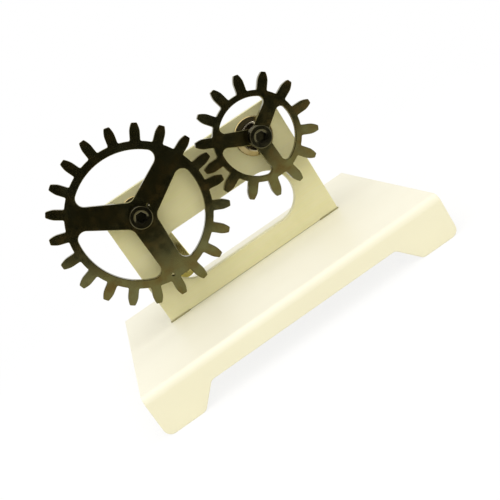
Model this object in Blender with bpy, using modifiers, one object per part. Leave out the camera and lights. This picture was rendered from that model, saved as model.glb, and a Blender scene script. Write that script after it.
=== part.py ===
"""Hand-cranked two-gear transmission model on a folded stand. Metres, +Z up, front towards -Y.

The origin is on the surface it stands on, under the middle of the stand. A slotted plate stands
upright in the stand and carries two shafts in flanged bushes. The crank at the back turns the
larger gear, which drives the smaller one.
"""
import math

import bmesh
import bpy
from mathutils import Matrix, Vector

GAP = 0.0003                 # seating gap between neighbouring pieces

# Folded stand
BASE_WIDTH = 0.118
BASE_DEPTH = 0.102
BASE_HEIGHT = 0.016
BASE_SHEET = 0.002
BASE_BEND = 0.003            # outer radius of the two folds
FLANGE_CUT = 0.0078          # height of the cut-out between the feet
FOOT_WIDTH = 0.0148          # along the bottom, from the end to the slant
FOOT_CORNER = 0.003
FOOT_INNER = 0.0025          # corner between a foot and its slant
CUT_FILLET = 0.0025
FOOT_SLANT = math.radians(47)

# Upright plate
PLATE_WIDTH = 0.0792
PLATE_HEIGHT = 0.052         # above the stand
PLATE_SHEET = 0.003
PLATE_FRONT = 0.0036         # its front face, from the middle of the stand
PLATE_CORNER = 0.0008
SLOT_LENGTH = 0.058
SLOT_HEIGHT = 0.0212
SLOT_RISE = 0.0191           # slot's middle above the stand
TAB_WIDTH = 0.0082
TAB_DROP = 0.0065            # below the stand's sheet
TAB_SLOT_FRONT = 0.0004      # the stand's slot shows this much in front of the plate
PIN_OUTER = 0.001
PIN_WALL = 0.0004
PIN_LENGTH = 0.011
PIN_SLIT = 0.0005

# Gear pair
MODULE = 0.003
PRESSURE_ANGLE = math.radians(14.5)
LARGE_TEETH = 21
SMALL_TEETH = 14
# Tooth sizes by the module, as gear makers give them
LARGE_TOOTH = 1.2            # thickness on the pitch circle
SMALL_TOOTH = 1.25
LARGE_ADDENDUM = 0.77
SMALL_ADDENDUM = 0.89
LARGE_DEDENDUM = 1.4
SMALL_DEDENDUM = 1.32
TIP_CORNER = 0.17
ROOT_FILLET = 0.2
LARGE_TURN = math.radians(-0.5)     # how far each gear stands from teeth centred in gaps
SMALL_TURN = math.radians(0.6)
GEAR_SHEET = 0.0025
SHAFT_RISE = 0.0425          # shafts above the stand
LARGE_RIM = 0.0031           # from the roots to the windows
SMALL_RIM = 0.0023
LARGE_SPOKE = 0.0103         # full width at the shaft's axis
SMALL_SPOKE = 0.0063
SPOKE_TAPER = math.radians(2.3)
LARGE_WINDOW_OUTER = 0.0031
LARGE_WINDOW_INNER = 0.0035
SMALL_WINDOW_OUTER = 0.002
SMALL_WINDOW_INNER = 0.0016
SPOKES = 3
LARGE_SPOKE_TURN = math.radians(29.8)   # from the gear's own level line
SMALL_SPOKE_TURN = math.radians(34.2)
JIG_HOLE = 0.0006            # radius of the small hole in the large gear's rim
JIG_HOLE_REACH = 8.4 * MODULE
JIG_HOLE_TURN = math.radians(264.8)

# Bushes, shafts and what is on them
SHAFT_RADIUS = 0.004
NOSE_STEP = 0.0005           # shaft's front end is turned down by this, inside the spacer
BUSH_WALL = 0.0012
DRIVE_BUSH_RIM = 0.0014      # flange past the bush's body
DRIVEN_BUSH_RIM = 0.00215
BUSH_FLANGE_SHEET = 0.0015
BUSH_EDGE = 0.0008           # bevel on the flange's front edge
NUT_WALL = 0.0012
NUT_HEIGHT = 0.0025
BUSH_PROUD = 0.0006          # barrel past its nut
SPACER_WALL = 0.0019
COLLAR_WALL = 0.002
SPACER_EDGE = 0.0004
SPACER_LENGTH = 0.0032
SCREW_RADIUS = 0.0025
HEAD_RADIUS = 0.00425
HEAD_HEIGHT = 0.005
HEAD_EDGE = 0.0004
SOCKET_FLATS = 0.004
SOCKET_DEPTH = 0.0028
SOCKET_BEVEL = 0.0008        # from the socket's flats to the edge of its mouth
SCREW_GRIP = 0.006           # thread held in the shaft
LOCK_WASHER = 0.0006
DRIVE_PIN_RADIUS = 0.0005
DRIVE_PIN_FIT = 0.00015
DRIVE_PIN_WALL = 0.00052     # collar between its bore and the pin's hole
DRIVE_PIN_TURN = math.radians(18.4)
DRIVE_PIN_BITE = 0.0018
THRUST_WALL = 0.0017
THRUST_SHEET = 0.0008

# Crank
ARM_WIDTH = 0.0097
ARM_SHEET = 0.003
CRANK_THROW = 0.0286
CRANK_TILT = math.radians(5.1)
ARM_SCREW_RADIUS = 0.0015
SEAT_WALL = 0.0015           # shaft's end around the arm's screw
FLAT_DEPTH = 0.0006          # of the two flats on the shaft's end, which turn the arm
ARM_HEAD_RADIUS = 0.00275
ARM_HEAD_HEIGHT = 0.003
ARM_SOCKET_FLATS = 0.0025
ARM_SOCKET_DEPTH = 0.0016
ARM_SCREW_GRIP = 0.005
ARM_WASHER_RADIUS = 0.0045
CRANK_PIN_RADIUS = 0.0025
CRANK_THREAD_RADIUS = 0.002
CRANK_HEAD_RADIUS = 0.0038
CRANK_HEAD_HEIGHT = 0.0024
CRANK_SLOT = 0.0008
GRIP_WALL = 0.0017
GRIP_LENGTH = 0.024
GRIP_WAIST = 0.0004
GRIP_END = 0.0012

# Collar that keeps the driven shaft
KEEPER_WALL = 0.0027
KEEPER_LENGTH = 0.006
KEEPER_SCREW_RADIUS = 0.0015
KEEPER_SCREW_SUNK = 0.0004
KEEPER_SOCKET_FLATS = 0.0015
KEEPER_SOCKET_DEPTH = 0.0012
SHAFT_PROUD = 0.0004         # driven shaft past its collar

# Fineness
TURNS = 48
SMALL_TURNS = 24
ARC_STEP = math.radians(12)

# Places that follow from the sizes above
PITCH_SPAN = MODULE * (LARGE_TEETH + SMALL_TEETH) / 2
SHAFT_Z = BASE_HEIGHT + SHAFT_RISE
LARGE_X = -PITCH_SPAN / 2
SMALL_X = PITCH_SPAN / 2
BORE = SHAFT_RADIUS + GAP
NOSE_RADIUS = SHAFT_RADIUS - NOSE_STEP
NOSE_BORE = NOSE_RADIUS + GAP
BUSH_RADIUS = BORE + BUSH_WALL
NUT_FLATS = 2 * (BUSH_RADIUS + GAP + NUT_WALL)
SPACER_RADIUS = NOSE_BORE + SPACER_WALL
COLLAR_RADIUS = NOSE_BORE + COLLAR_WALL
DRIVE_PIN_REACH = NOSE_BORE + DRIVE_PIN_WALL + DRIVE_PIN_FIT + DRIVE_PIN_RADIUS
THRUST_RADIUS = BORE + THRUST_WALL
SEAT_RADIUS = ARM_SCREW_RADIUS + SEAT_WALL
SEAT_FLAT = SEAT_RADIUS - FLAT_DEPTH    # from the axis to a flat
GRIP_RADIUS = CRANK_PIN_RADIUS + GAP + GRIP_WALL
KEEPER_RADIUS = BORE + KEEPER_WALL
# Distances in front of the plate's front face, along a shaft
FLANGE_FRONT = GAP + BUSH_FLANGE_SHEET
SPACER_BACK = FLANGE_FRONT + GAP
SPACER_FRONT = SPACER_BACK + SPACER_LENGTH
GEAR_BACK = SPACER_FRONT + GAP
GEAR_FRONT = GEAR_BACK + GEAR_SHEET
WASHER_BACK = GEAR_FRONT + GAP
WASHER_FRONT = WASHER_BACK + LOCK_WASHER
HEAD_BACK = WASHER_FRONT + GAP
NUT_FRONT = -PLATE_SHEET - GAP
NUT_BACK = NUT_FRONT - NUT_HEIGHT
BARREL_BACK = NUT_BACK - BUSH_PROUD
THRUST_FRONT = BARREL_BACK - GAP
THRUST_BACK = THRUST_FRONT - THRUST_SHEET
ARM_FRONT = THRUST_BACK - GAP
ARM_BACK = ARM_FRONT - ARM_SHEET
SCREW_TIP = SPACER_FRONT - SCREW_GRIP


def empty_scene():
    for item in list(bpy.data.objects):
        bpy.data.objects.remove(item, do_unlink=True)


def collection(name):
    group = bpy.data.collections.new(name)
    bpy.context.scene.collection.children.link(group)
    return group


empty_scene()
MODEL = collection("gear_transmission_model")
CUTTERS = collection("cutters")


def material(name, colour, metallic, roughness):
    shade = bpy.data.materials.new(name)
    shade.use_nodes = True
    surface = shade.node_tree.nodes["Principled BSDF"]
    surface.inputs["Base Color"].default_value = (*colour, 1.0)
    surface.inputs["Metallic"].default_value = metallic
    surface.inputs["Roughness"].default_value = roughness
    return shade


CREAM_PAINT = material("cream_powder_coat", (0.90, 0.86, 0.68), 0.0, 0.45)
SATIN_PLATE = material("satin_anodised_plate", (0.82, 0.78, 0.52), 0.3, 0.45)
BLACK_STEEL = material("blackened_gear_steel", (0.035, 0.032, 0.02), 0.8, 0.32)
BLACK_SCREW = material("black_oxide_screw", (0.03, 0.03, 0.022), 0.8, 0.4)
BRIGHT_STEEL = material("bright_steel", (0.62, 0.60, 0.54), 1.0, 0.28)
BRONZE = material("bush_bronze", (0.62, 0.50, 0.29), 1.0, 0.33)
BRASS = material("crank_brass", (0.50, 0.42, 0.16), 1.0, 0.35)
BLACK_GRIP = material("black_phenolic", (0.02, 0.02, 0.018), 0.0, 0.35)


def keep(item, shade=None, group=None):
    """Puts an object in its collection, with its material and smooth shading on round faces."""
    for old in list(item.users_collection):
        old.objects.unlink(item)
    (group or MODEL).objects.link(item)
    if shade:
        item.data.materials.clear()
        item.data.materials.append(shade)
        item.data.shade_smooth()
        item.data.set_sharp_from_angle(angle=math.radians(35))
    return item


def hide_cutter(item):
    keep(item, group=CUTTERS)
    item.hide_render = True
    item.display_type = "WIRE"
    return item


def arc(centre, radius, start, end):
    """Points on an arc, ends included, evenly spaced."""
    count = max(1, math.ceil(abs(end - start) / ARC_STEP))
    turns = [start + (end - start) * i / count for i in range(count + 1)]
    return [(centre[0] + radius * math.cos(t), centre[1] + radius * math.sin(t)) for t in turns]


def rounded(corners):
    """An outline from corners (x, y, radius), with an arc at each corner that has a radius."""
    points = []
    for i, (x, y, radius) in enumerate(corners):
        here = Vector((x, y))
        if radius <= 0:
            points.append((x, y))
            continue
        before = (Vector(corners[i - 1][:2]) - here).normalized()
        after = (Vector(corners[(i + 1) % len(corners)][:2]) - here).normalized()
        half = before.angle(after) / 2
        centre = here + (before + after).normalized() * (radius / math.sin(half))
        first = here + before * (radius / math.tan(half)) - centre
        last = here + after * (radius / math.tan(half)) - centre
        start = math.atan2(first.y, first.x)
        sweep = (math.atan2(last.y, last.x) - start + math.pi) % (2 * math.pi) - math.pi
        points += arc(centre, radius, start, start + sweep)
    return points


def ring_outline(radius, centre=(0.0, 0.0), count=TURNS):
    turns = [2 * math.pi * i / count for i in range(count)]
    return [(centre[0] + radius * math.cos(t), centre[1] + radius * math.sin(t)) for t in turns]


def as_mesh(curve_object):
    """Makes a curve object a welded mesh object in the same place."""
    bpy.context.view_layer.update()
    graph = bpy.context.evaluated_depsgraph_get()
    mesh = bpy.data.meshes.new_from_object(curve_object.evaluated_get(graph))
    work = bmesh.new()
    work.from_mesh(mesh)
    bmesh.ops.remove_doubles(work, verts=work.verts, dist=0.000001)
    work.to_mesh(mesh)
    work.free()
    name = curve_object.name
    matrix = curve_object.matrix_world.copy()
    bpy.data.objects.remove(curve_object, do_unlink=True)
    mesh.name = name
    item = bpy.data.objects.new(name, mesh)
    item.matrix_world = matrix
    return item


def flat(name, outlines, thickness, matrix):
    """A flat piece: closed outlines, the first outside and the rest holes, with a thickness."""
    curve = bpy.data.curves.new(name, "CURVE")
    curve.dimensions = "2D"
    curve.fill_mode = "BOTH"
    curve.extrude = thickness / 2
    for outline in outlines:
        spline = curve.splines.new("POLY")
        spline.points.add(len(outline) - 1)
        for point, (x, y) in zip(spline.points, outline):
            point.co = (x, y, 0.0, 1.0)
        spline.use_cyclic_u = True
    item = bpy.data.objects.new(name, curve)
    bpy.context.scene.collection.objects.link(item)
    item.matrix_world = matrix
    return as_mesh(item)


def facing_front(x, y, z):
    """Local X stays X, local Y points up and local Z points to the front."""
    return Matrix.Translation((x, y, z)) @ Matrix.Rotation(math.radians(90), 4, "X")


def facing_side(x, y, z):
    """Local X points back, local Y up and local Z to the right."""
    turn = Matrix.Rotation(math.radians(90), 4, "Z") @ Matrix.Rotation(math.radians(90), 4, "X")
    return Matrix.Translation((x, y, z)) @ turn


def on_shaft(x):
    """Frame on a shaft's axis: local Z runs to the front from the plate's front face."""
    return facing_front(x, PLATE_FRONT, SHAFT_Z)


def between(front, back):
    """Frame depth for a flat piece that lies between two distances in front of the plate."""
    return PLATE_FRONT - (front + back) / 2


def turned(name, profile, matrix, shade, closed, steps=TURNS):
    """A turned piece: profile of (radius, height) down its outer side, swept by a Screw modifier."""
    mesh = bpy.data.meshes.new(name)
    work = bmesh.new()
    verts = [work.verts.new((r, 0.0, h)) for r, h in profile]
    pairs = list(zip(verts, verts[1:]))
    if closed:
        pairs.append((verts[-1], verts[0]))
    for a, b in pairs:
        work.edges.new((a, b))
    work.to_mesh(mesh)
    work.free()
    item = bpy.data.objects.new(name, mesh)
    item.matrix_world = matrix
    screw = item.modifiers.new("turn", "SCREW")
    screw.axis = "Z"
    screw.steps = steps
    screw.render_steps = steps
    screw.use_merge_vertices = True
    screw.merge_threshold = 0.00001
    keep(item)
    item.data.materials.append(shade)
    return item


def rod_cutter(name, radius, length, matrix, count=SMALL_TURNS):
    """A plain rod along local Z, centred on its frame, for cutting."""
    mesh = bpy.data.meshes.new(name)
    work = bmesh.new()
    bmesh.ops.create_cone(work, cap_ends=True, segments=count, radius1=radius, radius2=radius,
                          depth=length)
    work.to_mesh(mesh)
    work.free()
    item = bpy.data.objects.new(name, mesh)
    item.matrix_world = matrix
    return hide_cutter(item)


def box_cutter(name, size, centre):
    mesh = bpy.data.meshes.new(name)
    work = bmesh.new()
    bmesh.ops.create_cube(work, size=1.0)
    bmesh.ops.scale(work, vec=size, verts=work.verts)
    work.to_mesh(mesh)
    work.free()
    item = bpy.data.objects.new(name, mesh)
    item.location = centre
    return hide_cutter(item)


def boolean(item, other, operation):
    change = item.modifiers.new(other.name, "BOOLEAN")
    change.operation = operation
    change.solver = "EXACT"
    change.object = other
    return item


def cut(item, cutter):
    return boolean(item, cutter, "DIFFERENCE")


def hex_radius(flats):
    """Corner radius of a hexagon with this width across its flats."""
    return flats / 2 / math.cos(math.radians(30))


def stand():
    """Sheet folded down at the front and back, each flange cut away between two feet."""
    half_depth = BASE_DEPTH / 2
    inner_bend = BASE_BEND - BASE_SHEET
    section = rounded([
        (-half_depth, 0.0, 0), (-half_depth, BASE_HEIGHT, BASE_BEND),
        (half_depth, BASE_HEIGHT, BASE_BEND), (half_depth, 0.0, 0),
        (half_depth - BASE_SHEET, 0.0, 0),
        (half_depth - BASE_SHEET, BASE_HEIGHT - BASE_SHEET, inner_bend),
        (-half_depth + BASE_SHEET, BASE_HEIGHT - BASE_SHEET, inner_bend),
        (-half_depth + BASE_SHEET, 0.0, 0)])
    folded = flat("base_channel", [section], BASE_WIDTH, facing_side(0, 0, 0))

    end = BASE_WIDTH / 2
    slant_bottom = end - FOOT_WIDTH
    slant_top = slant_bottom - FLANGE_CUT / math.tan(FOOT_SLANT)
    outline = rounded([
        (-end, 0.0, FOOT_CORNER), (-slant_bottom, 0.0, FOOT_INNER),
        (-slant_top, FLANGE_CUT, CUT_FILLET), (slant_top, FLANGE_CUT, CUT_FILLET),
        (slant_bottom, 0.0, FOOT_INNER), (end, 0.0, FOOT_CORNER),
        (end, 2 * BASE_HEIGHT, 0), (-end, 2 * BASE_HEIGHT, 0)])
    shape = flat("stand_front_shape", [outline], 2 * BASE_DEPTH, facing_front(0, 0, 0))
    boolean(folded, hide_cutter(shape), "INTERSECT")

    depth = TAB_SLOT_FRONT + PLATE_SHEET + GAP
    for side, x in tab_middles():
        cut(folded, box_cutter("tab_slot_" + side, (TAB_WIDTH + 2 * GAP, depth, 4 * BASE_SHEET),
                               (x, PLATE_FRONT - TAB_SLOT_FRONT + depth / 2, BASE_HEIGHT)))
    keep(folded, CREAM_PAINT)


def tab_middles():
    middle = (PLATE_WIDTH - TAB_WIDTH) / 2
    return (("left", -middle), ("right", middle))


def pin_height():
    """Middle of the pins, which sit just under the stand's sheet."""
    return BASE_HEIGHT - BASE_SHEET - GAP - PIN_OUTER


def upright():
    """Plate with a long round-ended slot, two bush holes and two tabs that pass into the stand."""
    half = PLATE_WIDTH / 2
    foot = GAP
    tab_foot = -BASE_SHEET - TAB_DROP
    tab_inner = half - TAB_WIDTH
    outline = rounded([
        (-half, tab_foot, PLATE_CORNER), (-tab_inner, tab_foot, PLATE_CORNER),
        (-tab_inner, foot, 0), (tab_inner, foot, 0),
        (tab_inner, tab_foot, PLATE_CORNER), (half, tab_foot, PLATE_CORNER),
        (half, PLATE_HEIGHT, PLATE_CORNER), (-half, PLATE_HEIGHT, PLATE_CORNER)])
    reach = (SLOT_LENGTH - SLOT_HEIGHT) / 2
    round_end = SLOT_HEIGHT / 2
    slot = (arc((reach, SLOT_RISE), round_end, -math.pi / 2, math.pi / 2)
            + arc((-reach, SLOT_RISE), round_end, math.pi / 2, 1.5 * math.pi))
    holes = [ring_outline(BUSH_RADIUS + GAP, (x, SHAFT_RISE)) for x in (LARGE_X, SMALL_X)]
    pin_rise = pin_height() - BASE_HEIGHT
    holes += [ring_outline(PIN_OUTER + GAP, (x, pin_rise), SMALL_TURNS) for _, x in tab_middles()]
    plate = flat("upright_plate", [outline, slot, *holes], PLATE_SHEET,
                 facing_front(0, PLATE_FRONT + PLATE_SHEET / 2, BASE_HEIGHT))
    keep(plate, SATIN_PLATE)


def tab_pins():
    """Slit spring pins through the plate's tabs, under the stand's sheet."""
    inner = PIN_OUTER - PIN_WALL
    outer_turn = math.asin(PIN_SLIT / 2 / PIN_OUTER)
    inner_turn = math.asin(PIN_SLIT / 2 / inner)
    down = -math.pi / 2
    outline = (arc((0, 0), PIN_OUTER, down + outer_turn, down + 2 * math.pi - outer_turn)
               + arc((0, 0), inner, down + 2 * math.pi - inner_turn, down + inner_turn))
    for side, x in tab_middles():
        pin = flat("tab_pin_" + side, [outline], PIN_LENGTH,
                   facing_front(x, PLATE_FRONT + PLATE_SHEET / 2, pin_height()))
        keep(pin, BRIGHT_STEEL)


def tooth_half_angle(radius, pitch_radius, thickness):
    """Half a tooth's angle at a radius: involute above the base circle, even width below it."""
    base_radius = pitch_radius * math.cos(PRESSURE_ANGLE)
    flank = math.tan(PRESSURE_ANGLE) - PRESSURE_ANGLE
    at_base = thickness / 2 / pitch_radius + flank
    if radius <= base_radius:
        return math.asin(base_radius * math.sin(at_base) / radius)
    pressure = math.acos(base_radius / radius)
    return at_base - (math.tan(pressure) - pressure)


def tooth_side(pitch_radius, thickness, tip_radius, root_radius):
    """One side of a tooth from root to tip, as (radius, angle from the tooth's middle)."""
    base_radius = pitch_radius * math.cos(PRESSURE_ANGLE)
    fillet = ROOT_FILLET * MODULE
    corner = TIP_CORNER * MODULE
    half_root = tooth_half_angle(root_radius, pitch_radius, thickness)
    side = [(root_radius, half_root + fillet / root_radius),
            (root_radius + 0.3 * fillet, half_root + 0.3 * fillet / root_radius),
            (root_radius + fillet, half_root)]
    flank_end = tip_radius - corner
    steps = 5
    for i in range(steps + 1):
        radius = base_radius + (flank_end - base_radius) * i / steps
        side.append((radius, tooth_half_angle(radius, pitch_radius, thickness)))
    half_tip = tooth_half_angle(flank_end, pitch_radius, thickness)
    side.append((tip_radius - 0.3 * corner, half_tip - 0.35 * corner / tip_radius))
    side.append((tip_radius, half_tip - 1.05 * corner / tip_radius))
    return side


def gear_outline(teeth, thickness, addendum, dedendum, first_tooth):
    """Toothed outline, anticlockwise, with the middle of one tooth at the angle first_tooth."""
    pitch_radius = MODULE * teeth / 2
    side = tooth_side(pitch_radius, thickness * MODULE, pitch_radius + addendum * MODULE,
                      pitch_radius - dedendum * MODULE)
    points = []
    for i in range(teeth):
        middle = first_tooth + 2 * math.pi * i / teeth
        for radius, turn in side:
            points.append((radius * math.cos(middle - turn), radius * math.sin(middle - turn)))
        for radius, turn in reversed(side):
            points.append((radius * math.cos(middle + turn), radius * math.sin(middle + turn)))
    return points


def window_outline(rim_radius, spoke_width, outer, inner, middle):
    """Window between two tapering spokes, with a round corner at the shaft and two at the rim."""
    slope = math.pi / SPOKES + SPOKE_TAPER
    along = Vector((math.cos(slope), math.sin(slope)))
    across = Vector((math.sin(slope), -math.cos(slope)))
    to_edge = math.pi / SPOKES
    start = Vector((math.sin(to_edge), -math.cos(to_edge))) * spoke_width / 2
    nose = start - along * (start.y / along.y)
    inner_centre = Vector((nose.x + inner / math.sin(slope), 0.0))
    half = arc(inner_centre, inner, math.pi, math.pi / 2 + slope)
    foot = start + across * outer
    reach = rim_radius - outer
    cross = foot.dot(along)
    run = -cross + math.sqrt(cross * cross - foot.length_squared + reach * reach)
    centre = foot + along * run
    rim_turn = math.atan2(centre.y, centre.x)
    half += arc(centre, outer, math.pi / 2 + slope, rim_turn)
    half += arc((0, 0), rim_radius, rim_turn, 0.0)[1:]
    points = half + [(x, -y) for x, y in reversed(half[1:-1])]
    cos, sin = math.cos(middle), math.sin(middle)
    return [(x * cos - y * sin, x * sin + y * cos) for x, y in points]


def spoked_gear(name, x, teeth, tooth, rim, spoke, corners, turn, spoke_turn, extra):
    """Flat spoked gear. One tooth points left, apart from its small turn on the shaft."""
    thickness, addendum, dedendum = tooth
    rim_radius = MODULE * (teeth / 2 - dedendum) - rim
    outlines = [gear_outline(teeth, thickness, addendum, dedendum, math.pi + turn)]
    for i in range(SPOKES):
        middle = turn + spoke_turn + (2 * i + 1) * math.pi / SPOKES
        outlines.append(window_outline(rim_radius, spoke, corners[0], corners[1], middle))
    outlines.append(ring_outline(SCREW_RADIUS + GAP, count=SMALL_TURNS))
    outlines += extra
    y = between(GEAR_FRONT, GEAR_BACK)
    gear = flat(name, outlines, GEAR_SHEET, facing_front(x, y, SHAFT_Z))
    keep(gear, BLACK_STEEL)


def drive_pin_place():
    return (DRIVE_PIN_REACH * math.cos(DRIVE_PIN_TURN), DRIVE_PIN_REACH * math.sin(DRIVE_PIN_TURN))


def gears():
    """The larger gear has a gap towards the smaller one, whose tooth fills it."""
    jig_place = (JIG_HOLE_REACH * math.cos(JIG_HOLE_TURN), JIG_HOLE_REACH * math.sin(JIG_HOLE_TURN))
    pin_hole = ring_outline(DRIVE_PIN_RADIUS + DRIVE_PIN_FIT, drive_pin_place(), SMALL_TURNS // 2)
    jig_hole = ring_outline(JIG_HOLE, jig_place, SMALL_TURNS // 2)
    spoked_gear("large_gear", LARGE_X, LARGE_TEETH, (LARGE_TOOTH, LARGE_ADDENDUM, LARGE_DEDENDUM),
                LARGE_RIM, LARGE_SPOKE, (LARGE_WINDOW_OUTER, LARGE_WINDOW_INNER),
                LARGE_TURN, LARGE_SPOKE_TURN, [pin_hole, jig_hole])
    spoked_gear("small_gear", SMALL_X, SMALL_TEETH, (SMALL_TOOTH, SMALL_ADDENDUM, SMALL_DEDENDUM),
                SMALL_RIM, SMALL_SPOKE, (SMALL_WINDOW_OUTER, SMALL_WINDOW_INNER),
                SMALL_TURN, SMALL_SPOKE_TURN, [])


def bush(name, x, rim):
    """Flanged bush, pushed in from the front and held by a nut at the back."""
    flange = BUSH_RADIUS + rim
    turned(name, [
        (BORE, FLANGE_FRONT), (flange - BUSH_EDGE, FLANGE_FRONT),
        (flange, FLANGE_FRONT - BUSH_EDGE / 2), (flange, GAP), (BUSH_RADIUS, GAP),
        (BUSH_RADIUS, BARREL_BACK), (BORE, BARREL_BACK)], on_shaft(x), BRONZE, True)
    nut = flat(name + "_nut", [ring_outline(hex_radius(NUT_FLATS), count=6),
                               ring_outline(BUSH_RADIUS + GAP)], NUT_HEIGHT,
               facing_front(x, between(NUT_FRONT, NUT_BACK), SHAFT_Z))
    keep(nut, BRIGHT_STEEL)


def washer(name, x, inner, outer, front, back, shade, edge=0.0):
    """Plain ring between two distances in front of the plate, with bevelled outer edges."""
    profile = [(inner, front), (outer - edge, front), (outer, front - edge),
               (outer, back + edge), (outer - edge, back), (inner, back)]
    if edge == 0.0:
        profile = [(inner, front), (outer, front), (outer, back), (inner, back)]
    return turned(name, profile, on_shaft(x), shade, True)


def cap_screw(name, x, tip):
    """Socket head cap screw through a gear's middle into the shaft."""
    front = HEAD_BACK + HEAD_HEIGHT
    screw = turned(name, [
        (0.0, front), (HEAD_RADIUS - HEAD_EDGE, front), (HEAD_RADIUS, front - HEAD_EDGE),
        (HEAD_RADIUS, HEAD_BACK), (SCREW_RADIUS, HEAD_BACK), (SCREW_RADIUS, tip), (0.0, tip)],
        on_shaft(x), BLACK_SCREW, False)
    reach = 2 * SOCKET_DEPTH
    frame = on_shaft(x) @ Matrix.Translation((0, 0, front))
    cut(screw, rod_cutter(name + "_socket", hex_radius(SOCKET_FLATS), reach, frame, 6))
    flats = SOCKET_FLATS / 2
    cone = turned(name + "_mouth", [
        (0.0, front + SOCKET_BEVEL), (flats + 2 * SOCKET_BEVEL, front + SOCKET_BEVEL),
        (flats, front - SOCKET_BEVEL), (0.0, front - SOCKET_BEVEL)], on_shaft(x), BLACK_SCREW, False,
        SMALL_TURNS)
    cut(screw, hide_cutter(cone))


def shaft_front():
    """Profile of a shaft's front end: threaded hole, nose inside the spacer, shoulder at the bush."""
    hole = SCREW_TIP - GAP
    thread = SCREW_RADIUS + GAP
    nose_front = SPACER_FRONT - GAP
    return [(0.0, hole), (thread, hole), (thread, nose_front), (NOSE_RADIUS, nose_front),
            (NOSE_RADIUS, FLANGE_FRONT), (SHAFT_RADIUS, FLANGE_FRONT)]


def drive_shaft():
    """Shaft with a threaded hole in each end and a stepped seat with two flats for the crank arm."""
    step = ARM_FRONT + GAP
    end = ARM_BACK + GAP
    hole = end + ARM_SCREW_GRIP + GAP
    thread = ARM_SCREW_RADIUS + GAP
    shaft = turned("drive_shaft", [
        *shaft_front(), (SHAFT_RADIUS, step), (SEAT_RADIUS, step), (SEAT_RADIUS, end),
        (thread, end), (thread, hole), (0.0, hole)], on_shaft(LARGE_X), BRIGHT_STEEL, False)
    side = 2 * SEAT_RADIUS
    height = 2 * (step - end)
    frame = on_shaft(LARGE_X) @ Matrix.Rotation(CRANK_TILT, 4, "Z")
    for name, sign in (("left", -1), ("right", 1)):
        cutter = box_cutter("flat_" + name, (side, 2 * side, height), (0, 0, 0))
        cutter.matrix_world = frame @ Matrix.Translation(
            (sign * (SEAT_FLAT + side / 2), 0, step - height / 2))
        cut(shaft, cutter)


def driven_shaft():
    end = THRUST_BACK - GAP - KEEPER_LENGTH - SHAFT_PROUD
    turned("driven_shaft", [*shaft_front(), (SHAFT_RADIUS, end), (0.0, end)], on_shaft(SMALL_X),
           BRIGHT_STEEL, False)


def shaft_parts():
    collar = washer("hub_collar", LARGE_X, NOSE_BORE, COLLAR_RADIUS, SPACER_FRONT, SPACER_BACK,
                    BLACK_SCREW, SPACER_EDGE)
    frame = on_shaft(LARGE_X) @ Matrix.Translation((*drive_pin_place(), SPACER_FRONT))
    cut(collar, rod_cutter("drive_pin_hole", DRIVE_PIN_RADIUS + DRIVE_PIN_FIT,
                           2 * (DRIVE_PIN_BITE + GAP), frame, SMALL_TURNS // 2))
    washer("gear_spacer", SMALL_X, NOSE_BORE, SPACER_RADIUS, SPACER_FRONT, SPACER_BACK, BLACK_SCREW,
           SPACER_EDGE)
    for name, x in (("large", LARGE_X), ("small", SMALL_X)):
        washer(name + "_lock_washer", x, SCREW_RADIUS + GAP, HEAD_RADIUS, WASHER_FRONT, WASHER_BACK,
               BLACK_SCREW)
        cap_screw(name + "_gear_screw", x, SCREW_TIP)
    for name, x, rim in (("drive", LARGE_X, DRIVE_BUSH_RIM), ("driven", SMALL_X, DRIVEN_BUSH_RIM)):
        bush(name + "_bush", x, rim)
        washer(name + "_thrust_washer", x, BORE, THRUST_RADIUS, THRUST_FRONT, THRUST_BACK,
               BRIGHT_STEEL)
    back = SPACER_FRONT - DRIVE_PIN_BITE
    frame = on_shaft(LARGE_X) @ Matrix.Translation((*drive_pin_place(), 0))
    turned("drive_pin", [
        (0.0, GEAR_FRONT), (DRIVE_PIN_RADIUS, GEAR_FRONT), (DRIVE_PIN_RADIUS, back), (0.0, back)],
        frame, BRIGHT_STEEL, False, SMALL_TURNS // 2)


def keeper():
    """Collar with a set screw, which keeps the driven shaft in its bush."""
    front = THRUST_BACK - GAP
    back = front - KEEPER_LENGTH
    collar = washer("rear_collar", SMALL_X, BORE, KEEPER_RADIUS, front, back, BRIGHT_STEEL,
                    SPACER_EDGE)
    axis = Matrix.Translation((SMALL_X, PLATE_FRONT - (front + back) / 2, SHAFT_Z))
    hole = axis @ Matrix.Translation((0, 0, KEEPER_RADIUS))
    cut(collar, rod_cutter("set_screw_hole", KEEPER_SCREW_RADIUS + GAP,
                           2 * (KEEPER_RADIUS - SHAFT_RADIUS), hole))
    head = KEEPER_RADIUS - KEEPER_SCREW_SUNK
    screw = turned("rear_collar_screw", [
        (0.0, head), (KEEPER_SCREW_RADIUS, head), (KEEPER_SCREW_RADIUS, BORE), (0.0, BORE)],
        axis, BLACK_SCREW, False, SMALL_TURNS)
    cut(screw, rod_cutter("set_screw_socket", hex_radius(KEEPER_SOCKET_FLATS),
                          2 * KEEPER_SOCKET_DEPTH, axis @ Matrix.Translation((0, 0, head)), 6))


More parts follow.
